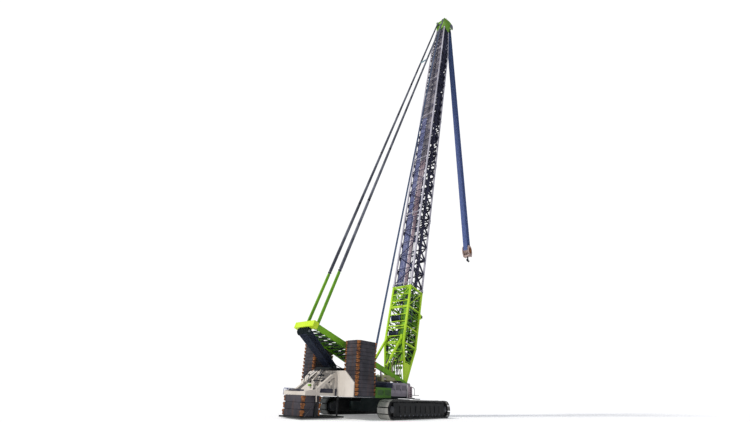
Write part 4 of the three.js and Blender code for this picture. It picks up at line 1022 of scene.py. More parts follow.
@dataclass
class BoomButt:
    """The boom's foot section: CAD plates and chords, with winches, tubes and hoses on it."""

    rope: float = 0.0042
    half_width: float = 0.140
    begin: float = 0.25
    end: float = 1.17
    bays: int = 10
    seed: int = 11

    def corner(self, along: Array, side: Array, rear: Array) -> Array:
        """Points on the butt's chord lines: they part from the foot pins up to the shoulder.

        Args:
            along: distances along the boom.
            side: 1 for left, -1 for right, or a share between.
            rear: 1 for rear, -1 for front, or a share between.

        Returns:
            (n, 3) points.
        """
        along = np.atleast_1d(np.asarray(along, float))
        depth = np.interp(along, [0.0, 0.45], [0.0, 0.130])
        return spread(along, side * self.half_width, rear * depth)

    def drum(self, name: str, node: str, finish: Finish, body: str = "boom", share: float = 1.0) -> None:
        """Builds one winch drum over its CAD node: flanges with bolts, and rope wound in a helix.

        The rope's path is (radius cos a, a pitch / 2 pi, radius sin a) about the drum's axis.

        Args:
            name: the piece's name.
            node: the CAD node that it stands for.
            finish: the drum's finish.
            body: the body that it rides on.
            share: the drum's share of the node's width, from the left; a gearbox takes the rest.
        """
        low, high = limits(node)
        radius = min((high - low)[0], (high - low)[2]) / 2
        core = radius * 0.66
        shape = Surface()
        right = low[1]
        low[1] = high[1] - (high[1] - low[1]) * share
        centre = (low + high) / 2
        half = (high[1] - low[1]) / 2
        if share < 1:
            way = low[1] - right
            gear = [(0, 0.001), (0, radius * 0.45), (way * 0.4, radius * 0.45), (way * 0.42, radius * 0.62),
                    (way * 0.8, radius * 0.62), (way * 0.84, radius * 0.8), (way, radius * 0.8),
                    (way, 0.001)]
            shape.lathe(gear, [centre[0], right, centre[2]], "y", Finish.HEAD_GREEN, 28)
        profile = [(-half, 0.0001), (-half, radius * 0.3), (-half + 0.012, radius * 0.3),
                   (-half + 0.012, radius), (-half + 0.019, radius), (-half + 0.019, core),
                   (half - 0.019, core), (half - 0.019, radius), (half - 0.012, radius),
                   (half - 0.012, radius * 0.3), (half, radius * 0.3), (half, 0.0001)]
        shape.lathe(profile, centre, "y", finish, 40)
        width = half * 2 - 0.046
        turns = int(width / (self.rope * 2.05))
        angle = np.linspace(0, turns * 2 * math.pi, turns * 20)
        way = np.linspace(-width / 2, width / 2, len(angle))
        wound = core + self.rope
        path = spread(wound * np.cos(angle), way, wound * np.sin(angle)) + centre
        shape.sweep(path, self.rope, Finish.DARK_ROPE, 6)
        bolts = ring(8) * radius * 0.62
        for side in (-1, 1):
            start = spread(bolts[:, 0], side * (half - 0.012), bolts[:, 1]) + centre
            shape.tubes(start, start + [0, side * 0.004, 0], 0.0035, Finish.STEEL, 6)
        shape.build(name, body, (node,), 0.0)

    def lacing(self) -> None:
        """Builds the butt's close lacing, cover plates and chord sleeves."""
        shape = Surface(BOOM)
        rng = np.random.default_rng(self.seed)
        covers = (Finish.BOX_GREEN, Finish.HEAD_GREEN, Finish.LEAF, Finish.DEEP)
        places = np.linspace(self.begin, self.end, self.bays + 1)
        low, high = places[:-1], places[1:]
        for side in (-1, 1):
            for rear in (-1, 1):
                ends = self.corner(np.array([0.44, self.end + 0.02]), side, rear)
                shape.tubes(ends[:1], ends[1:], 0.0158, Finish.LIME, 14)
                foot = self.corner(np.array([0.235, 0.45]), side, rear)
                shape.tubes(foot[:1], foot[1:], 0.0158, Finish.LIME, 14)
            shape.tubes(self.corner(high, side * 0.99, 0.97), self.corner(low, side * 0.99, -0.97), 0.0065,
                        Finish.BOX_GREEN, 8)
            shape.tubes(self.corner(places, side, 0.98), self.corner(places, side, -0.98), 0.0055,
                        Finish.HEAD_GREEN, 8)
        clear = (low < 0.52) | (low > 0.90)
        for rear, finish in ((1, Finish.LEAF), (-1, Finish.BOX_GREEN)):
            for turn in (-1, 1):
                bay = clear if rear > 0 else np.ones_like(clear)
                shape.tubes(self.corner(low[bay], turn * 0.97, rear),
                            self.corner(high[bay], -turn * 0.97, rear), 0.0058, finish, 8)
            shape.tubes(self.corner(places, -0.97, rear), self.corner(places, 0.97, rear), 0.0065,
                        Finish.LIME, 8)
            for index in range(self.bays):
                spans = rng.uniform(0.25, 0.60, 2) if rear > 0 else rng.uniform(0.60, 0.95, 2)
                for turn, span in zip((-1, 1), spans):
                    edge = self.corner(np.array([low[index], high[index]]), turn * 0.95, rear * 0.93)
                    if rear > 0 and 0.56 < low[index] + 0.05 < 0.92 and turn > 0:
                        continue
                    y0, y1 = sorted((edge[0, 1], edge[0, 1] * (1 - span)))
                    z = edge[:, 2].mean()
                    shape.boxes([low[index] + 0.008, y0, z - 0.002], [high[index] - 0.012, y1, z + 0.002],
                                covers[int(rng.integers(4))])
        slats = np.arange(0.31, self.end, 0.021)
        greens = (Finish.HEAD_GREEN, Finish.LEAF, Finish.BOX_GREEN, Finish.LIME, Finish.DEEP)
        for index, where in enumerate(slats):
            ends = np.sort(rng.uniform(-0.85, 0.85, 2))
            if 0.55 < where < 0.95 and ends[1] > -0.1:
                ends = np.array([-0.9, -0.15])
            edge = self.corner(where, ends, (0.62, 0.30)[index % 2])
            shape.boxes([where - 0.0085, edge[0, 1] - 0.01, edge[0, 2] - 0.003],
                        [where + 0.0085, edge[1, 1] + 0.01, edge[0, 2] + 0.003],
                        greens[int(rng.integers(5))])
        braces = np.array([0.50, 0.72, 0.96, 1.14])
        for turn in (-1, 1):
            shape.tubes(self.corner(braces, turn, 1), self.corner(braces, -turn, -1), 0.0048,
                        Finish.HEAD_GREEN, 8)
        bracket = self.corner(0.870, -1, -1)[0]
        shape.boxes(bracket - [0.03, 0.010, 0.040], bracket + [0.03, 0.010, -0.010], Finish.LIME)
        shape.boxes(bracket - [0.012, 0.014, 0.058], bracket + [0.020, 0.014, -0.036], Finish.GUN)
        shape.build("butt_lacing", "boom", (), 0.0)

    def piping(self) -> None:
        """Builds the pipes and hoses that climb inside the butt, with their clamps and valves."""
        shape = Surface(BOOM)
        shape.tubes([0.40, -0.122, 0.002], [1.13, -0.122, 0.040], 0.0135, Finish.DEEP, 16)
        shape.tubes([0.72, -0.122, 0.019], [1.02, -0.122, 0.034], 0.0185, Finish.NIGHT, 16)
        t = np.linspace(0, 1, 26)[:, None]
        for index in range(12):
            y = -0.106 + 0.0185 * index
            depth = -0.055 + 0.022 * (index % 4)
            sway = 0.010 * np.sin(t * (5 + index % 3) + index)
            path = np.hstack([0.24 + 0.92 * t, y * np.clip(0.45 + t, 0, 1) + sway, depth * t ** 0.5 + sway])
            shape.sweep(path, 0.0052, (Finish.RUBBER, Finish.TEAL, Finish.LEAF)[index % 3], 8)
        for index in range(14):
            y = -0.100 + 0.0152 * index
            bow = np.sin(t * math.pi)
            path = np.hstack([0.33 - 0.30 * t, y + 0.012 * np.sin(t * 5 + index),
                              0.045 + 0.030 * bow * (1 + index % 3) - 0.02 * t])
            shape.sweep(path, 0.0056, (Finish.LEAF, Finish.OLIVE, Finish.RUBBER, Finish.TEAL)[index % 4], 8)
        plates = np.array([[0.265, -0.10], [0.215, 0.01], [0.165, -0.09], [0.115, 0.0], [0.075, -0.095]])
        low = np.hstack([plates, np.full((5, 1), 0.022)])
        shape.boxes(low, low + [0.030, 0.092, 0.006], Finish.HEAD_GREEN)
        for along in (0.42, 0.56, 0.70, 0.84, 0.98, 1.10):
            shape.boxes([along, -0.122, -0.004], [along + 0.012, 0.112, 0.006], Finish.HEAD_GREEN)
        for along, y in ((0.49, -0.07), (0.66, 0.02), (0.80, -0.075), (1.00, 0.04), (1.05, -0.06)):
            shape.boxes([along, y, 0.012], [along + 0.055, y + 0.045, 0.050], Finish.TEAL)
            shape.tubes([along + 0.01, y + 0.010, 0.05], [along + 0.01, y + 0.010, 0.068], 0.005,
                        Finish.OLIVE, 8)
        shape.build("butt_piping", "boom", (), 0.0008)

    def build(self) -> None:
        """Dresses the butt and builds its winches and piping."""
        dress("boom_butt", Finish.LIME, 0.002)
        self.drum("butt_winch_lower", "boom_winch_lower", Finish.DRUM, share=0.62)
        self.drum("butt_winch_upper", "boom_winch_upper", Finish.GRATING, share=0.62)
        self.lacing()
        self.piping()
        for side in ("left", "right"):
            dress(f"boom_stop_{side}", Finish.LIME, 0.001)


@dataclass
class BoomHead:
    """The boom's head: CAD plates, with grooved sheaves, pins, stiffeners and a lamp."""

    sheave_width: float = 0.014
    pitch: float = 0.022
    count: int = 4

    def sheave(self, shape: Surface, centre: Array, radius: float, finish: Finish) -> None:
        """Adds one sheave: a rim with a round groove, a thin web and a hub.

        Args:
            shape: where the shapes are added.
            centre: the sheave's middle.
            radius: radius of its rim.
            finish: the finish.
        """
        half = self.sheave_width / 2
        groove = 0.0042
        turn = np.linspace(0, math.pi, 7)
        rim = [(-half * 0.72 * math.cos(a), radius - groove * math.sin(a) * 1.4) for a in turn]
        profile = [(-half, 0.012), (-half, 0.02), (-half * 0.4, 0.021), (-half * 0.4, radius - 0.014),
                   (-half, radius - 0.011), (-half, radius), *rim, (half, radius), (half, radius - 0.011),
                   (half * 0.4, radius - 0.014), (half * 0.4, 0.021), (half, 0.02), (half, 0.012)]
        shape.lathe(profile, centre, "y", finish, 36)

    def build(self) -> None:
        """Dresses the head and builds its sheaves."""
        dress("boom_head", Finish.HEAD_GREEN, 0.002)
        low, high = limits("head_sheaves")
        centre = (low + high) / 2
        shape = Surface()
        for index in range(self.count):
            offset = (index - (self.count - 1) / 2) * self.pitch
            self.sheave(shape, centre + [0, offset, 0], (high[2] - low[2]) / 2, Finish.DEEP)
        half = (high[1] - low[1]) / 2
        shape.tubes(centre - [0, half, 0], centre + [0, half, 0], 0.012, Finish.STEEL, 20)
        shape.build("head_sheave_set", "boom", ("head_sheaves",))
        self.fittings()

    def fittings(self) -> None:
        """Builds the head's plate edges, rope keepers, pin collars, limit switch and lamp."""
        shape = Surface(BOOM)
        for side in (-1, 1):
            face = side * 0.110
            near, far = sorted((face, face + side * 0.006))
            for along, rear, radius in ((8.70, -0.235, 0.030), (8.56, 0.140, 0.022)):
                shape.lathe([(near, 0.002), (near, radius), (far, radius * 0.9), (far, 0.002)],
                            [along, 0.0, rear], "y", Finish.TEAL, 24)
            strips = np.array([[8.30, -0.075], [8.42, -0.11], [8.52, -0.15], [8.61, -0.19]])
            shape.boxes(np.hstack([strips[:, :1], np.full((4, 1), near), strips[:, 1:]]),
                        np.hstack([strips[:, :1] + 0.010, np.full((4, 1), far),
                                   -strips[:, 1:] * 0.4 + 0.03]), Finish.HEAD_GREEN)
            shape.tubes([8.30, face, 0.085], [8.78, face, 0.05], 0.0035, Finish.OLIVE, 8)
        keepers = np.array([[8.66, -0.085, -0.165], [8.74, -0.085, -0.172], [8.775, -0.085, -0.235]])
        shape.tubes(keepers, keepers + [0, 0.17, 0], 0.005, Finish.DEEP, 10)
        shape.boxes([8.60, -0.060, 0.10], [8.66, -0.015, 0.125], Finish.BLACK)
        shape.boxes([8.47, 0.030, 0.10], [8.51, 0.075, 0.118], Finish.GUN)
        guard = np.array([[8.62, -0.13], [8.70, -0.12], [8.835, -0.19], [8.82, -0.240], [8.73, -0.264],
                          [8.662, -0.25]])
        shape.prism(guard, -0.118, -0.111, Finish.TEAL)
        shape.prism(guard, 0.111, 0.118, Finish.TEAL)
        shape.boxes([8.735, 0.050, -0.020], [8.785, 0.095, 0.018], Finish.BLACK)
        lamp = [(0.0, 0.003), (0.0, 0.010), (0.018, 0.013), (0.022, 0.010), (0.022, 0.003)]
        shape.lathe(lamp, [8.776, 0.020, -0.040], "x", Finish.LENS, 16)
        shape.build("head_fittings", "boom", (), 0.0006)


# ---------------------------------------------------------------- mast, pendants and ropes


@dataclass
class Mast:
    """The mast: CAD legs and crossbeam, with sheaves, lacing, pipes and pads."""

    def build(self) -> None:
        """Dresses the mast and builds the sheaves at its head and on the deck."""
        dress("mast_frame", Finish.LEAF, 0.002)
        dress("mast_crossbeam", Finish.BRIGHT_LIME, 0.003)
        for node, name, body in (("mast_sheaves", "mast_sheave_set", "mast"),
                                 ("luffing_sheaves", "luffing_sheave_set", "superstructure")):
            low, high = limits(node)
            centre = (low + high) / 2
            radius = min((high - low)[0], (high - low)[2]) / 2
            shape = Surface()
            head = BoomHead()
            for offset in np.linspace(low[1] + 0.012, high[1] - 0.012, 6):
                head.sheave(shape, np.array([centre[0], offset, centre[2]]), radius, Finish.DEEP)
            shape.tubes([centre[0], low[1], centre[2]], [centre[0], high[1], centre[2]], 0.012,
                        Finish.STEEL, 20)
            shape.build(name, body, (node,))
        self.bracing()

    def bracing(self) -> None:
        """Builds the lacing between the legs, and the pipes and pads on them."""
        shape = Surface(MAST)
        places = np.linspace(0.62, 1.32, 10)
        half = np.interp(places, [0.09, 1.40], [0.178, 0.098])
        left = spread(places, half, 0.0)
        right = left * [1, -1, 1]
        for level in (-0.016, 0.016):
            lift = np.array([0, 0, level])
            shape.tubes(left[:-1] + lift, right[1:] + lift, 0.0065, Finish.DEEP, 8)
            shape.tubes(right[:-1] + lift, left[1:] + lift, 0.0060, Finish.BOX_GREEN, 8)
            shape.tubes(left + lift, right + lift, 0.0062, Finish.DEEP, 8)
        pipe = np.array([[0.12, -0.165, 0.0], [0.70, -0.130, 0.0], [1.30, -0.092, 0.0]])
        for shift in (0.0, 0.009, 0.018):
            way = pipe + [0, shift, 0.006]
            shape.tubes(way[:-1], way[1:], 0.0036, Finish.TEAL, 8)
        pads = np.linspace(0.25, 1.25, 6)
        reach = np.interp(pads, [0.09, 1.40], [0.190, 0.110])
        for side in (-1, 1):
            centre = spread(pads, side * reach, 0.0)
            shape.boxes(centre - [0.012, 0.0135, 0.0262], centre + [0.012, 0.0135, 0.0262], Finish.LEAF)
        shape.build("mast_bracing", "mast", (), 0.0)


@dataclass
class Pendants:
    """The two pendants: pinned bars, green near the mast and dark above."""

    offset: float = 0.080
    green_share: float = 0.080
    links: int = 8
    eye_radius: float = 0.0185
    pin_radius: float = 0.006

    def ends(self) -> tuple[Array, Array]:
        """The pendants' lower and upper pin, on the crane's middle plane.

        Returns:
            The lower and the upper point.
        """
        high = limits("pendant_left")[1]
        top = np.array([high[0] - 0.011, 0.0, high[2] - 0.011])
        return MAST_HEAD, top

    def build(self) -> None:
        """Builds both pendants and the tie between them."""
        start, end = self.ends()
        length = float(np.linalg.norm(end - start))
        place = line_place(start, end)
        for side, name in ((1, "left"), (-1, "right")):
            shape = Surface(place)
            stations = np.concatenate([[0.0], np.linspace(self.green_share, 1, self.links)]) * length
            for index, (begin, finish_at) in enumerate(zip(stations[:-1], stations[1:])):
                green = index == 0
                paint = Finish.LEAF if green else Finish.TEAL
                thick, deep = (0.0080, 0.0150) if green else (0.0095, 0.0160)
                y = side * self.offset
                shape.boxes([begin + 0.02, y - thick, -deep], [finish_at - 0.02, y + thick, deep], paint)
                for where in (begin, finish_at):
                    rim = ring(12) * self.eye_radius
                    inward = np.stack([rim[:, 0] + where, rim[:, 1]], axis=-1)
                    shape.prism(inward, y - thick, y + thick, paint)
                    shape.tubes([where, y - 0.0095, 0], [where, y + 0.0095, 0], self.pin_radius, Finish.STEEL,
                                10)
            shape.build(f"pendant_bars_{name}", "pendants", (f"pendant_{name}",), 0.0008)
        low, high = limits("pendant_spreader")
        middle = (low + high) / 2
        tie = Surface()
        tie.tubes([middle[0], low[1], middle[2]], [middle[0], high[1], middle[2]], 0.013, Finish.ICE, 14)
        for side in (low[1] + 0.006, high[1] - 0.006):
            tie.tubes([middle[0], side - 0.006, middle[2]], [middle[0], side + 0.006, middle[2]], 0.0125,
                      Finish.SLATE, 14)
        tie.build("pendant_tie", "pendants", ("pendant_spreader",))


@dataclass
class Ropes:
    """The working ropes: luffing ropes, hoist ropes and falls.

    A rope has rings at its two ends only, so it is a straight bar.
    """

    radius: float = 0.0036
    sides: int = 7
    fall_strands: int = 8
    fall_half_width: float = 0.0365
    fall_reach: float = 0.0575
    fall_radius: float = 0.0052

    def luffing(self) -> None:
        """Builds the luffing ropes between the deck's sheaves and the mast's."""
        low_a, high_a = limits("luffing_sheaves")
        low_b, high_b = limits("mast_sheaves")
        deck, head = (low_a + high_a) / 2, (low_b + high_b) / 2
        radius = (high_a[2] - low_a[2]) / 2
        widening = (high_b[1] - 0.02) / (high_a[1] - 0.012)
        along = (head - deck) / np.linalg.norm(head - deck)
        square = np.array([-along[2], 0.0, along[0]])
        shape = Surface()
        for offset in np.linspace(low_a[1] + 0.012, high_a[1] - 0.012, 8):
            for side in (-1, 1):
                shift = square * side * radius * 0.93
                shape.tubes(deck * [1, 0, 1] + shift + [0, offset, 0],
                            head * [1, 0, 1] + shift + [0, offset * widening, 0], self.radius * 1.3,
                            Finish.DARK_ROPE, self.sides)
        shape.build("luffing_ropes", "superstructure", blend=("superstructure", "mast", deck, head))

    def drum_leads(self) -> None:
        """Builds the ropes from the luffing winch to its sheaves."""
        low, high = limits("luffing_winch")
        drum = (low + high) / 2
        low_a, high_a = limits("luffing_sheaves")
        deck = (low_a + high_a) / 2
        shape = Surface()
        for offset in (-0.03, 0.03):
            start = [drum[0], offset, drum[2] + 0.034]
            end = [deck[0], offset, high_a[2] - 0.004]
            shape.tubes(start, end, self.radius, Finish.DARK_ROPE, self.sides)
        shape.build("luffing_leads", "superstructure")

    def rear_hoist(self) -> None:
        """Builds the hoist ropes from the deck winch to the boom's head, behind the boom."""
        low, high = limits("hoist_winch")
        drum = (low + high) / 2
        start = np.array([drum[0] + 0.02, 0.0, drum[2] + 0.034])
        top = BOOM.at([[8.45, 0.0, 0.125]])[0]
        shape = Surface()
        for offset in (-0.0105, 0.0, 0.0105):
            shape.tubes(start + [0, offset, 0], top + [0, offset, 0], 0.0050, Finish.HOIST_ROPE, self.sides)
        shape.build("rear_hoist_ropes", "boom", blend=("superstructure", "boom", start, top))

    def inner(self) -> None:
        """Builds the ropes from the butt's winches up inside the boom."""
        shape = Surface(BOOM)
        for where, rear, apart in ((0.575, 0.03, 0.035), (0.780, 0.055, 0.02)):
            for offset in (-apart, apart):
                start = [where, offset, rear]
                end = [8.45, offset * 0.6, 0.06]
                shape.tubes(start, end, self.radius, Finish.ROPE, self.sides)
        shape.build("inner_hoist_ropes", "boom")

    def falls(self) -> None:
        """Builds the falls between the head's sheaves and the hook block's."""
        low, high = limits("hook_block")
        bottom = low[2] + (high[2] - low[2]) * 0.55
        shape = Surface()
        for offset in np.linspace(-self.fall_half_width, self.fall_half_width, self.fall_strands):
            for side in (-1, 1):
                x = HEAD_AXLE[0] + side * self.fall_reach
                shape.tubes([x, offset, bottom], [x, offset, HEAD_AXLE[2]], self.fall_radius, Finish.ROPE,
                            self.sides)
        top = HEAD_AXLE * [1, 0, 1]
        shape.build("fall_ropes", "falls", ("hoist_falls",),
                    blend=("falls", "hook_block", top - [0, 0, 0.15], [top[0], 0, bottom]))

    def build(self) -> None:
        """Builds every rope."""
        self.luffing()
        self.drum_leads()
        self.rear_hoist()
        self.inner()
        self.falls()


@dataclass
class HookBlock:
    """The hook block and the double hook under it."""

    def build(self) -> None:
        """Dresses the block and the hook, and builds the cheeks' cover plates and bolts."""
        dress("hook_block", Finish.BLOCK, 0.0015)
        dress("hook", Finish.GUN, 0.0015)
        low, high = limits("hook_block")
        centre = (low + high) / 2
        shape = Surface()
        half = (high[1] - low[1]) / 2
        for side in (-1, 1):
            face = side * half
            near, far = sorted((face - side * 0.002, face + side * 0.004))
            plate = ring(14, 0.2) * [0.046, 0.062]
            shape.prism(plate + [centre[0], centre[2] + 0.01], near, far,
                        Finish.RUST if side < 0 else Finish.BLOCK, "y")
            bolts = ring(10) * 0.034
            start = spread(bolts[:, 0] + centre[0], face, bolts[:, 1] + centre[2] + 0.01)
            shape.tubes(start, start + [0, side * 0.007, 0], 0.0038, Finish.BLACK, 6)
        shape.build("hook_block_bolts", "hook_block", (), 0.0)


# ---------------------------------------------------------------- undercarriage


@dataclass
class Undercarriage:
    """Tracks with separate shoes, wheels, rollers, side frames and the carbody."""

    shoes: int = 48
    half_straight: float = 0.480
    pitch_radius: float = 0.0735
    shoe_thickness: float = 0.0060
    axle_height: float = 0.087

    def frames_along(self, count: int) -> tuple[Array, Array, Array]:
        """Even places round the loop with their forward and outward directions, in X and Z.

        The loop is two straight runs joined by half circles; a place at distance d lies on the top
        run, the front arc, the bottom run or the rear arc, in that order.

        Args:
            count: how many places.

        Returns:
            Places, forward directions and outward directions, (count, 3) each.
        """
        straight, arc = 2 * self.half_straight, math.pi * self.pitch_radius
        total = 2 * (straight + arc)
        d = (np.arange(count) + 0.5) * total / count
        angle = np.select([d < straight, d < straight + arc, d < 2 * straight + arc],
                          [np.zeros_like(d), (d - straight) / self.pitch_radius, np.full_like(d, math.pi)],
                          math.pi + (d - 2 * straight - arc) / self.pitch_radius)
        middle = np.select([d < straight, d < straight + arc, d < 2 * straight + arc],
                           [d - self.half_straight, np.full_like(d, self.half_straight),
                            self.half_straight - (d - straight - arc)], -self.half_straight)
        outward = spread(np.sin(angle), 0.0, np.cos(angle))
        forward = spread(np.cos(angle), 0.0, -np.sin(angle))
        centre = spread(middle, 0.0, self.axle_height)
        return centre + outward * self.pitch_radius, forward, outward

    def shoe(self, pitch: float, half: float, tread: Finish) -> list[tuple[Array, Array, Finish]]:
        """One shoe's boxes as (lowest corners, highest corners, finish) in (forward, across, outward).

        Args:
            pitch: distance between two shoes.
            half: half the width of the track.
            tread: the plates' finish.

        Returns:
            One entry for each finish.
        """
        t = self.shoe_thickness
        g = pitch * 0.47
        lows = np.array([[-g, -half, 0.004], [-g, -half + 0.006, 0.004 + t], [-g, half - 0.05, 0.004 + t]])
        highs = np.array([[g, half, 0.004 + t], [g * 0.8, -half + 0.05, 0.0118],
                          [g * 0.8, half - 0.006, 0.0118]])
        plates = (lows + [0, 0.005, 0], highs - [0, 0.005, 0], tread)
        rims = (np.array([[-g, -half, 0.0035], [-g, half - 0.006, 0.0035]]),
                np.array([[g, -half + 0.006, 0.0105], [g, half, 0.0105]]), Finish.LINK)
        inner = (np.array([[-g * 0.85, -0.032, -0.012], [-g * 0.85, 0.016, -0.012]]),
                 np.array([[g * 0.85, -0.016, 0.004], [g * 0.85, 0.032, 0.004]]), Finish.LINK)
        ears = (np.array([[-g * 1.06, -half * 0.62, -0.006], [-g * 1.06, half * 0.62 - 0.014, -0.006]]),
                np.array([[g * 1.06, -half * 0.62 + 0.014, 0.004], [g * 1.06, half * 0.62, 0.004]]),
                Finish.LINK)
        return [plates, rims, inner, ears]

    def track(self, side: str) -> None:
        """Builds one track's shoes, each set square to the loop.

        Args:
            side: "left" or "right".
        """
        low, high = limits(f"track_{side}")
        middle = (low[1] + high[1]) / 2
        half = (high[1] - low[1]) / 2
        centre, forward, outward = self.frames_along(self.shoes)
        total = 2 * (2 * self.half_straight + math.pi * self.pitch_radius)
        # painted shade: the left track gets the darkened shoe steel, the right track the plain one
        tread = Finish.SHOE if side == "right" else Finish.MUDDY_SHOE
        shape = Surface()
        for lows, highs, finish in self.shoe(total / self.shoes, half, tread):
            local = lows[:, None] + BOX_CORNERS[None] * (highs - lows)[:, None]
            points = (centre[:, None, None] + local[None, ..., :1] * forward[:, None, None]
                      + local[None, ..., 1:2] * np.array([0.0, 1.0, 0.0])
                      + local[None, ..., 2:] * outward[:, None, None] + [0, middle, 0])
            count = points.shape[0] * points.shape[1]
            number = np.arange(count)[:, None, None] * 8 + BOX_FACES[None]
            shape.add(points, [number.reshape(-1, 4)], finish)
        shape.build(f"shoes_{side}", "undercarriage", (f"track_{side}",), 0.0012)

    def sprocket(self, side: str) -> None:
        """Builds the drive sprocket: the outline is a circle whose radius rises at each tooth.

        Args:
            side: "left" or "right".
        """
        low, high = limits(f"sprocket_{side}")
        centre = (low + high) / 2
        angle = np.arange(88) * 2 * math.pi / 88
        wave = np.clip(np.cos(angle * 11) * 1.6, -1, 1)
        radius = (high[2] - low[2]) / 2 - 0.0065 + 0.0055 * wave
        outline = np.stack([centre[0] + radius * np.cos(angle), centre[2] + radius * np.sin(angle)], axis=-1)
        shape = Surface()
        for y in (centre[1] - 0.024, centre[1] + 0.012):
            shape.prism(outline, y, y + 0.012, Finish.LINK)
        profile = [(low[1], 0.001), (low[1], 0.03), (low[1] + 0.006, 0.034), (centre[1] - 0.012, 0.046),
                   (centre[1] + 0.012, 0.046), (high[1] - 0.006, 0.034), (high[1], 0.03), (high[1], 0.001)]
        shape.lathe(profile, [centre[0], 0, centre[2]], "y", Finish.GUN, 36)
        bolts = ring(10) * 0.022
        for y, sign in ((low[1], -1), (high[1], 1)):
            start = spread(bolts[:, 0] + centre[0], y, bolts[:, 1] + centre[2])
            shape.tubes(start, start + [0, sign * 0.003, 0], 0.003, Finish.STEEL, 6)
        shape.build(f"sprocket_wheel_{side}", "undercarriage", (f"sprocket_{side}",), 0.0006)

    def idler(self, side: str) -> None:
        """Builds the idler: two rims, a dished web with spokes on both faces, and a hub.

        Args:
            side: "left" or "right".
        """
        low, high = limits(f"idler_{side}")
        centre = (low + high) / 2
        radius = (high[2] - low[2]) / 2
        half = (high[1] - low[1]) / 2
        shape = Surface()
        profile = [(-half, 0.001), (-half, 0.022), (-half * 0.7, 0.026), (-half * 0.25, 0.03),
                   (-half * 0.25, radius - 0.014), (-half * 0.85, radius - 0.009), (-half * 0.85, radius),
                   (-half * 0.3, radius), (-half * 0.3, radius - 0.006), (half * 0.3, radius - 0.006),
                   (half * 0.3, radius), (half * 0.85, radius), (half * 0.85, radius - 0.009),
                   (half * 0.25, radius - 0.014), (half * 0.25, 0.03), (half * 0.7, 0.026), (half, 0.022),
                   (half, 0.001)]
        shape.lathe(profile, centre, "y", Finish.GUN, 44)
        spokes = ring(6)
        for sign in (-1, 1):
            start = spread(spokes[:, 0] * 0.028, sign * half * 0.38, spokes[:, 1] * 0.028) + centre
            reach = radius - 0.012
            end = spread(spokes[:, 0] * reach, sign * half * 0.38, spokes[:, 1] * reach) + centre
            shape.tubes(start, end, 0.004, Finish.GUN, 6)
        shape.build(f"idler_wheel_{side}", "undercarriage", (f"idler_{side}",))

    def side_frame(self, side: str) -> None:
        """Builds covers, ribs, steps and bolts on one side frame's outer face.

        Args:
            side: "left" or "right".
        """
        low, high = limits(f"track_frame_{side}")
        sign = 1 if side == "left" else -1
        outer = high[1] if sign > 0 else low[1]
        shape = Surface()
        xs = np.linspace(-0.36, 0.36, 9)
        lows = spread(xs - 0.003, min(outer, outer + sign * 0.010), 0.055)
        highs = spread(xs + 0.003, max(outer, outer + sign * 0.010), 0.118)
        shape.boxes(lows, highs, Finish.BLACK)
        rollers = np.linspace(-0.35, 0.35, 11)
        ends = spread(rollers, outer, 0.036)
        shape.tubes(ends, ends + [0, sign * 0.007, 0], 0.010, Finish.GUN, 16)
        shape.tubes(ends + [0, sign * 0.007, 0], ends + [0, sign * 0.010, 0], 0.0045, Finish.STEEL, 10)
        middle = (low[1] + high[1]) / 2
        shape.boxes([[-0.50, middle - 0.03, 0.024], [-0.46, middle - 0.05, 0.030]],
                    [[0.50, middle + 0.03, 0.150], [0.46, middle + 0.05, 0.146]], Finish.BLACK)
        shape.tubes([-0.02, outer, 0.126], [0.34, outer, 0.112], 0.0030, Finish.GUN, 8)
        shape.tubes([0.02, outer, 0.098], [0.17, outer, 0.094], 0.0036, Finish.LILAC, 8)
        grips = np.linspace(-0.05, 0.18, 8)
        shape.boxes(spread(grips, middle - 0.055, 0.150), spread(grips + 0.012, middle + 0.055, 0.157),
                    Finish.BLACK)
        for x in (-0.48, 0.48):
            hub = [x, outer, self.axle_height]
            shape.lathe([(0, 0.001), (0, 0.03), (sign * 0.006, 0.03), (sign * 0.012, 0.02),
                         (sign * 0.012, 0.001)], hub, "y", Finish.GUN, 28)
        shape.build(f"side_frame_details_{side}", "undercarriage", (), 0.0006)

    def build(self) -> None:
        """Builds and dresses the whole undercarriage."""
        for side in ("left", "right"):
            self.track(side)
            self.sprocket(side)
            self.idler(side)
            self.side_frame(side)
            dress(f"track_frame_{side}", Finish.BLACK, 0.002)
            dress(f"final_drive_{side}", Finish.GUN, 0.003)
        dress("carbody", Finish.DEEP, 0.003)
        dress("slewing_ring", Finish.STEEL, 0.001)


# ---------------------------------------------------------------- superstructure


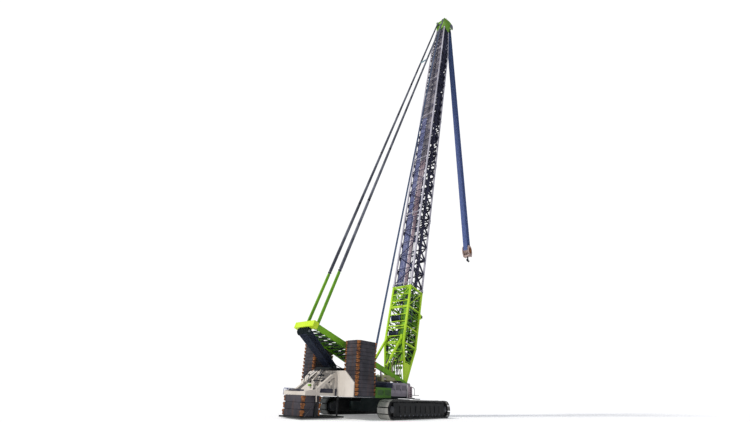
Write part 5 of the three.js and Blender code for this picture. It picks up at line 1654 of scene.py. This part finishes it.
@dataclass
class Counterweights:
    """The two side stacks and the low stack at the rear: separate cast slabs with rusty lugs."""

    slabs: int = 14
    low_slabs: int = 3
    gap: float = 0.0022
    corner: float = 0.030
    bollard: float = 0.021

    def slab_outline(self, low: Array, high: Array, corner: float) -> Array:
        """A slab's outline seen from above: a rectangle with its corners cut.

        Args:
            low: lowest corner.
            high: highest corner.
            corner: how much each corner is cut.

        Returns:
            (8, 2) points.
        """
        x0, y0, x1, y1 = low[0], low[1], high[0], high[1]
        c = corner
        return np.array([[x0 + c, y0], [x1 - c, y0], [x1, y0 + c], [x1, y1 - c],
                         [x1 - c, y1], [x0 + c, y1], [x0, y1 - c], [x0, y0 + c]])

    def bollards(self, shape: Surface, low: Array, high: Array, base: float, thickness: float) -> None:
        """Adds a slab's four lifting bollards, one in each cut corner: a waisted drum with a brim.

        Args:
            shape: where the shapes are added.
            low: the stack's lowest corner.
            high: its highest corner.
            base: the slab's underside.
            thickness: the slab's thickness.
        """
        r, t, inset = self.bollard, thickness, self.corner * 0.55
        profile = [(0.10 * t, r * 0.35), (0.12 * t, r * 0.8), (0.3 * t, r * 0.72), (0.5 * t, r * 0.7),
                   (0.64 * t, r), (0.8 * t, r), (0.92 * t, r * 0.7), (0.92 * t, r * 0.2)]
        for x in (low[0] + inset, high[0] - inset):
            for y in (low[1] + inset, high[1] - inset):
                shape.lathe(profile, [x, y, base], "z", Finish.RUST, 14)

    def core(self, shape: Surface, low: Array, high: Array) -> None:
        """Adds the dark block that closes the gaps between a stack's slabs.

        Args:
            shape: where the shapes are added.
            low: the stack's lowest corner.
            high: its highest corner.
        """
        inset = np.array([0.006, 0.006, 0.001])
        outline = self.slab_outline(low + inset, high - inset, self.corner)
        shape.prism(outline, low[2] + 0.001, high[2] - 0.001, Finish.SLAB, "z")

    def stack(self, name: str, node: str, slabs: int, bevel: float) -> None:
        """Builds one stack over its CAD node.

        Args:
            name: the piece's name.
            node: the CAD node that it stands for.
            slabs: how many slabs lie on each other.
            bevel: width of the slabs' rounded edges.
        """
        low, high = limits(node)
        thickness = (high[2] - low[2]) / slabs
        shape = Surface()
        outline = self.slab_outline(low, high, self.corner)
        for index in range(slabs):
            base = low[2] + index * thickness
            shape.prism(outline, base + self.gap / 2, base + thickness - self.gap / 2, Finish.SLAB, "z")
            self.bollards(shape, low, high, base, thickness)
        self.core(shape, low, high)
        shape.build(name, "superstructure", (node,), bevel)

    def build(self) -> None:
        """Builds the stacks and dresses what carries them."""
        for side in ("left", "right"):
            self.stack(f"slabs_{side}", f"counterweight_stack_{side}", self.slabs, 0.0016)
        self.stack("low_slabs", "low_ballast_slabs", self.low_slabs, 0.002)
        for side in ("left", "right"):
            dress(f"counterweight_carrier_{side}", Finish.GUN, 0.001)
        dress("low_ballast_tray", Finish.BLACK, 0.001)
        dress("rear_frame", Finish.BEIGE, 0.0025)


@dataclass
class Handrail:
    """A handrail: posts with a top rail and a middle rail along a path."""

    height: float = 0.10
    radius: float = 0.0026
    spacing: float = 0.09

    def add(self, shape: Surface, path: Array, finish: Finish) -> None:
        """Adds the rail along a path of (n, 3) corner points at deck level.

        Args:
            shape: where the shapes are added.
            path: the corner points.
            finish: the finish.
        """
        path = np.asarray(path, float)
        for level in (self.height, self.height * 0.55):
            lifted = path + [0, 0, level]
            shape.tubes(lifted[:-1], lifted[1:], self.radius, finish, 8)
        posts = []
        for begin, end in zip(path[:-1], path[1:]):
            count = max(2, int(np.linalg.norm(end - begin) / self.spacing) + 1)
            posts.append(begin + (end - begin) * np.linspace(0, 1, count)[:, None])
        feet = np.unique(np.round(np.concatenate(posts), 5), axis=0)
        shape.tubes(feet, feet + [0, 0, self.height], self.radius, finish, 8)


@dataclass
class Superstructure:
    """The platform's houses, boxes, winches, rails, slats and exhaust."""

    rail: Handrail = field(default_factory=lambda: Handrail(height=0.04, spacing=0.06))

    def louvres(self, shape: Surface, node: str, outer: float, sign: int, finish: Finish) -> None:
        """Adds doors, level louvre blades and latches to a house's outer face.

        Args:
            shape: where the shapes are added.
            node: the house's CAD node.
            outer: Y of its outer face.
            sign: 1 on the left, -1 on the right.
            finish: the doors' finish.
        """
        low, high = limits(node)
        doors = max(2, int((high[0] - low[0]) / 0.1))
        edges = np.linspace(low[0] + 0.01, high[0] - 0.01, doors + 1)
        for begin, end in zip(edges[:-1], edges[1:]):
            y0, y1 = sorted((outer, outer + sign * 0.003))
            shape.boxes([begin + 0.003, y0, low[2] + 0.012], [end - 0.003, y1, high[2] - 0.010], finish)
            count = 7
            z = np.linspace(high[2] - 0.022 - 0.006 * count, high[2] - 0.022, count)
            y0, y1 = sorted((outer + sign * 0.002, outer + sign * 0.0055))
            shape.boxes(spread(begin + 0.014, y0, z - 0.0013), spread(end - 0.014, y1, z + 0.0013),
                        Finish.GUN)
            shape.boxes([end - 0.014, y0, low[2] + 0.04], [end - 0.010, y1, low[2] + 0.058], Finish.BLACK)

    def build(self) -> None:
        """Dresses the superstructure's nodes and builds their details."""
        dress("slew_platform", Finish.LILAC, 0.002)
        for node, finish in (("engine_house", Finish.LILAC), ("pump_house", Finish.LILAC),
                             ("side_box_left", Finish.BOX_GREEN), ("side_box_right", Finish.BOX_GREEN),
                             ("radiator_box", Finish.GUN), ("engine_block", Finish.GUN)):
            dress(node, finish, 0.003)
        butt = BoomButt()
        butt.drum("hoist_drum", "hoist_winch", Finish.DRUM, "superstructure")
        butt.drum("luffing_drum", "luffing_winch", Finish.DRUM, "superstructure")
        details = Surface()
        for node, sign in (("engine_house", -1), ("pump_house", 1), ("side_box_left", 1),
                           ("side_box_right", -1)):
            low, high = limits(node)
            finish = Finish.BOX_GREEN if node.startswith("side_box") else Finish.LILAC
            self.louvres(details, node, high[1] if sign > 0 else low[1], sign, finish)
        details.build("door_details", "superstructure", (), 0.0006)
        self.engine_fittings()
        self.access()
        self.rear_fittings()

    def engine_fittings(self) -> None:
        """Builds the radiator's panel, air cleaner, silencer, pipes, hoses and roof hatches."""
        shape = Surface()
        low = limits("radiator_box")[0]
        roof = limits("engine_house")[1][2]
        shape.boxes([-0.405, -0.3335, low[2]], [-0.303, -0.327, roof - 0.004], Finish.NIGHT)
        x = np.linspace(low[0] + 0.012, -0.312, 22)
        shape.boxes(spread(x - 0.0018, -0.3375, low[2] + 0.006),
                    spread(x + 0.0018, -0.331, roof - 0.010),
                    Finish.NIGHT)
        for y, radius, finish in ((-0.236, 0.030, Finish.OLIVE), (-0.292, 0.020, Finish.OLIVE)):
            shape.lathe([(-0.005, 0.002), (0.0, radius * 0.7), (0.012, radius), (0.05, radius),
                         (0.053, radius * 1.08), (0.060, radius * 1.08), (0.063, radius), (0.13, radius),
                         (0.142, radius * 0.7), (0.145, 0.002)], [-0.37, y, roof + radius + 0.010], "x",
                        finish, 30)
        for x0 in (-0.35, -0.265):
            shape.boxes([x0, -0.262, roof], [x0 + 0.012, -0.212, roof + 0.018], Finish.OLIVE)
        bend = np.linspace(0, math.pi / 2, 9)
        pipe = spread(-0.40 - 0.05 * np.sin(bend), -0.292, roof + 0.030 + 0.05 * (1 - np.cos(bend)))
        shape.sweep(np.vstack([[-0.37, -0.292, roof + 0.030], pipe, [-0.45, -0.292, roof + 0.095]]), 0.009,
                    Finish.ROSE, 16)
        duct = spread(-0.22 + 0.07 * np.sin(bend), -0.236 - 0.03 * (1 - np.cos(bend)),
                      roof + 0.040 - 0.03 * np.sin(bend))
        shape.sweep(duct, 0.015, Finish.OLIVE, 16)
        hatches = np.array([[-0.36, 0.215], [-0.25, 0.215], [-0.14, 0.215], [-0.13, -0.31]])
        lows = np.hstack([hatches, np.full((4, 1), roof - 0.001)])
        shape.boxes(lows, lows + [0.075, 0.07, 0.006], Finish.LILAC)
        for y in (-0.31, -0.285, -0.26):
            path = [[-0.20, y, roof + 0.012], [-0.15, y, roof + 0.020], [-0.10, y + 0.01, roof + 0.012],
                    [-0.05, y + 0.03, roof - 0.005]]
            shape.sweep(np.array(path), 0.006, Finish.RUBBER, 8)
        shape.boxes([-0.47, -0.32, low[2] + 0.054], [-0.43, -0.26, roof + 0.045], Finish.OLIVE)
        shape.build("engine_fittings", "superstructure", (), 0.0008)

    def access(self) -> None:
        """Builds the ladder, post, hoop and steps at the front, the left roof's rail and the deck slats."""
        shape = Surface()
        deck, roof = (corner[2] for corner in limits("pump_house"))
        for y in (-0.352, -0.335):
            shape.tubes([[-0.045, y, 0.184], [0.008, y, 0.184]], [[-0.048, y, 0.300], [0.004, y, 0.300]],
                        0.0052, Finish.ROSE, 10)
        rungs = np.linspace(0.192, 0.292, 6)
        start = spread(-0.046, -0.3435, rungs)
        shape.boxes(start - [0, 0.0085, 0.0015], start + [0.052, 0.0085, 0.0045], Finish.ROSE)
        shape.tubes([-0.055, -0.338, 0.180], [-0.052, -0.338, 0.313], 0.0042, Finish.WHITE, 12)
        turn = np.linspace(0, math.pi, 12)
        hoop = spread(0.045 + 0.042 * np.cos(turn), -0.331, 0.272 + 0.020 * np.sin(turn))
        shape.sweep(hoop, 0.0034, Finish.TEAL, 10)
        shape.tubes([[0.003, -0.331, 0.212], [0.087, -0.331, 0.212]],
                    [[0.003, -0.331, 0.274], [0.087, -0.331, 0.274]], 0.0028, Finish.TEAL, 8)
        shape.boxes([[-0.03, -0.36, 0.180], [0.06, -0.355, 0.176]], [[0.05, -0.325, 0.190],
                                                                    [0.16, -0.325, 0.184]], Finish.BLACK)
        self.rail.add(shape, np.array([[-0.36, 0.322, roof], [-0.06, 0.322, roof]]), Finish.SILVER)
        shape.boxes([[-0.30, -0.315, 0.181], [-0.06, -0.330, 0.181]], [[0.02, -0.240, 0.200],
                                                                     [0.01, -0.300, 0.196]], Finish.DEEP)
        slats = np.linspace(0.030, 0.195, 16)
        for y0, y1 in ((-0.318, -0.215), (0.040, 0.100)):
            shape.boxes(spread(slats - 0.0015, y0, deck + 0.001),
                        spread(slats + 0.0015, y1, deck + 0.006),
                        Finish.GUN)
        shape.build("access_fittings", "superstructure", (), 0.0)

    def rear_fittings(self) -> None:
        """Builds the rear frame's winch covers, slots, hoses, hanger strut and small rail, and dark slate
        panels of painted shade on the rear beam's lower part.
        """
        shape = Surface()
        top = limits("rear_frame")[1][2]
        shape.boxes([[-1.02, -0.135, top - 0.002], [-0.99, 0.02, top - 0.002], [-0.90, -0.12, top - 0.002]],
                    [[-0.96, 0.075, top + 0.016], [-0.93, 0.10, top + 0.022],
                     [-0.80, 0.12, top + 0.028]], Finish.BLACK)
        shape.tubes([[-0.985, -0.13, top + 0.014]], [[-0.985, 0.08, top + 0.014]], 0.013, Finish.DEEP, 18)
        t = np.linspace(0, 1, 18)[:, None]
        for index in range(7):
            y = -0.10 + 0.036 * index
            path = np.hstack([-1.00 - 0.035 * np.sin(t * 3) - 0.10 * t, y + 0.012 * np.sin(t * 6 + index),
                              top + 0.012 - 0.125 * t])
            shape.sweep(path, 0.0036, (Finish.RUBBER, Finish.TEAL, Finish.BEIGE)[index % 3], 8)
        # painted shade: three thin dark slate panels on the rear beam's lower part and the frame's faces,
        # where its shadow falls
        shape.boxes([[-1.293, -0.128, 0.216], [-1.20, -0.146, 0.184], [-0.940, -0.160, 0.184]],
                    [[-1.288, 0.080, 0.228], [-0.96, -0.139, 0.240], [-0.926, 0.150, 0.244]],
                    Finish.SLATE)
        shape.boxes([-0.945, 0.205, 0.262], [-0.927, 0.232, 0.280], Finish.LEAF)
        shape.tubes([-1.171, -0.150, 0.262], [-1.156, -0.150, 0.134], 0.0062, Finish.BEIGE, 14)
        shape.tubes([-1.156, -0.150, 0.134], [-1.275, -0.150, 0.020], 0.0024, Finish.GUN, 8)
        rail = np.array([[-1.245, 0.150, 0.180], [-1.245, 0.210, 0.180], [-1.10, 0.210, 0.180]])
        Handrail(height=0.055, radius=0.0034, spacing=0.03).add(shape, rail, Finish.GRATING)
        rng = np.random.default_rng(5)
        spots = rng.uniform([0.0, -0.14, 0.30], [0.02, 0.18, 0.375], (16, 3))
        lows = spread(-1.012, spots[:, 1], spots[:, 2] - 0.012)
        sizes = spread(0.03, rng.uniform(0.008, 0.024, 16), rng.uniform(0.006, 0.016, 16))
        shape.boxes(lows, lows + sizes, Finish.GUN)
        shape.build("rear_fittings", "superstructure", (), 0.0008)


@dataclass
class Cab:
    """The cab: CAD shell and door, with glass, console, lever, lamps and a mirror."""

    def build(self) -> None:
        """Dresses the cab and builds its panes, console, lever, lamps and mirror."""
        dress("cab_shell", Finish.WHITE, 0.0015)
        dress("cab_door", Finish.WHITE, 0.0006)
        dress("operator_seat", Finish.CLOTH, 0.004)
        low, high = limits("cab_shell")
        shape = Surface()
        shape.boxes([low[0] + 0.03, low[1] + 0.006, low[2] + 0.075],
                    [high[0] - 0.045, low[1] + 0.009, high[2] - 0.022], Finish.GLASS)
        shape.boxes([high[0] - 0.030, low[1] + 0.022, low[2] + 0.060],
                    [high[0] - 0.026, high[1] - 0.022, low[2] + 0.062], Finish.GLASS)
        shape.boxes([[high[0] - 0.058, low[1] + 0.02, low[2] + 0.012]],
                    [[high[0] - 0.034, low[1] + 0.088, low[2] + 0.070]], Finish.GUN)
        shape.tubes([high[0] - 0.046, low[1] + 0.075, low[2] + 0.065],
                    [high[0] - 0.052, low[1] + 0.078, low[2] + 0.105], 0.0022, Finish.BLACK, 8)
        lamp = [(0.0, 0.002), (0.0, 0.008), (0.012, 0.011), (0.014, 0.009), (0.014, 0.002)]
        for y in (low[1] + 0.022, high[1] - 0.022):
            shape.lathe(lamp, [high[0] - 0.030, y, high[2] + 0.010], "x", Finish.LENS, 16)
            shape.tubes([high[0] - 0.024, y, high[2] - 0.004], [high[0] - 0.024, y, high[2] + 0.004], 0.003,
                        Finish.BLACK, 8)
        arm = [[high[0] - 0.020, low[1] + 0.004, high[2] - 0.045], [high[0] + 0.006, low[1] - 0.010,
                                                                    high[2] - 0.042]]
        shape.tubes(arm[0], arm[1], 0.0018, Finish.BLACK, 8)
        shape.boxes(np.array(arm[1]) - [0.003, 0.010, 0.030], np.array(arm[1]) + [0.001, 0.010, 0.008],
                    Finish.BLACK)
        shape.build("cab_fittings", "superstructure", (), 0.0005)


# ---------------------------------------------------------------- stage


@dataclass
class Stage:
    """The pale floor, the soft light and the camera."""

    floor_half: float = 60.0
    camera_place: tuple = (-3.5623, -2.8482, 0.2118)
    yaw: float = 41.14
    pitch: float = 26.775
    roll: float = 2.223
    focal: float = 17.42
    sunwards: tuple = (-0.72, 0.16, 0.68)
    sun_strength: float = 2.5
    sun_softness: float = 9.0
    world_strength: float = 0.46

    def floor(self) -> None:
        """Builds the floor: a wide slightly mottled disc."""
        circle = ring(96) * self.floor_half
        points = spread(circle[:, 0], circle[:, 1], -0.0005)
        mesh = bpy.data.meshes.new("floor")
        mesh.from_pydata(points.tolist(), [], [list(range(96))])
        mesh.materials.append(self.floor_material())
        piece = bpy.data.objects.new("floor", mesh)
        bpy.context.scene.collection.objects.link(piece)

    def floor_material(self) -> bpy.types.Material:
        """Plain pale floor with a faint mottle; white to the camera, so the backdrop has no edge.

        Returns:
            The material.
        """
        graph = Graph("pale_floor")
        mottle = graph.noise(0.6, 3).ramp(0.3, 0.7)
        graph.feed(graph.shader.inputs["Emission Color"], (1.0, 1.0, 1.0))
        graph.feed(graph.shader.inputs["Emission Strength"], 0.2)
        return graph.finish(graph.mix(mottle, (0.9, 0.9, 0.9), (0.93, 0.93, 0.93)), 0.85, 0.0, None)

    def light(self) -> None:
        """Sets an even world and one broad soft sun."""
        world = bpy.data.worlds.new("studio")
        bpy.context.scene.world = world
        world.use_nodes = True
        tree = world.node_tree
        background = tree.nodes["Background"]
        background.inputs["Strength"].default_value = self.world_strength
        path = tree.nodes.new("ShaderNodeLightPath")
        mix = tree.nodes.new("ShaderNodeMix")
        mix.data_type = "RGBA"
        mix.inputs[6].default_value = (0.86, 0.9, 1.0, 1.0)
        mix.inputs[7].default_value = (2.3, 2.3, 2.3, 1.0)
        tree.links.new(path.outputs["Is Camera Ray"], mix.inputs[0])
        tree.links.new(mix.outputs[2], background.inputs["Color"])
        sun = bpy.data.lights.new("sun", "SUN")
        sun.energy = self.sun_strength
        sun.angle = math.radians(self.sun_softness)
        sun.color = (1.0, 0.97, 0.93)
        lamp = bpy.data.objects.new("sun", sun)
        lamp.rotation_euler = Vector(self.sunwards).to_track_quat("Z", "Y").to_euler()
        bpy.context.scene.collection.objects.link(lamp)

    def camera(self) -> None:
        """Sets the camera: yaw from +X towards +Y, pitch upwards, then roll about the line of sight."""
        yaw, pitch, roll = (math.radians(value) for value in (self.yaw, self.pitch, self.roll))
        forward = Vector((math.cos(yaw) * math.cos(pitch), math.sin(yaw) * math.cos(pitch), math.sin(pitch)))
        side = Vector((math.sin(yaw), -math.cos(yaw), 0.0))
        up = side.cross(forward)
        right = side * math.cos(roll) + up * math.sin(roll)
        top = up * math.cos(roll) - side * math.sin(roll)
        lens = bpy.data.cameras.new("camera")
        lens.lens = self.focal
        lens.sensor_width = 36.0
        lens.clip_end = 500.0
        eye = bpy.data.objects.new("camera", lens)
        axes = Matrix((right, top, -forward)).transposed().to_4x4()
        eye.matrix_world = Matrix.Translation(Vector(np.array(self.camera_place) + HUB)) @ axes
        bpy.context.scene.collection.objects.link(eye)
        bpy.context.scene.camera = eye
        bpy.context.scene.view_settings.view_transform = "Standard"

    def build(self) -> None:
        """Builds the stage."""
        self.floor()
        self.light()
        self.camera()


def main() -> None:
    """Builds the crane from the ground up, then the stage."""
    logging.basicConfig(level=logging.INFO, format="%(message)s")
    for part in (Undercarriage(), Superstructure(), Cab(), Counterweights(), BoomButt(), BoomLattice(),
                 BoomHead(), Mast(), Pendants(), Ropes(), HookBlock(), Stage()):
        part.build()


if __name__ == "__main__":
    main()
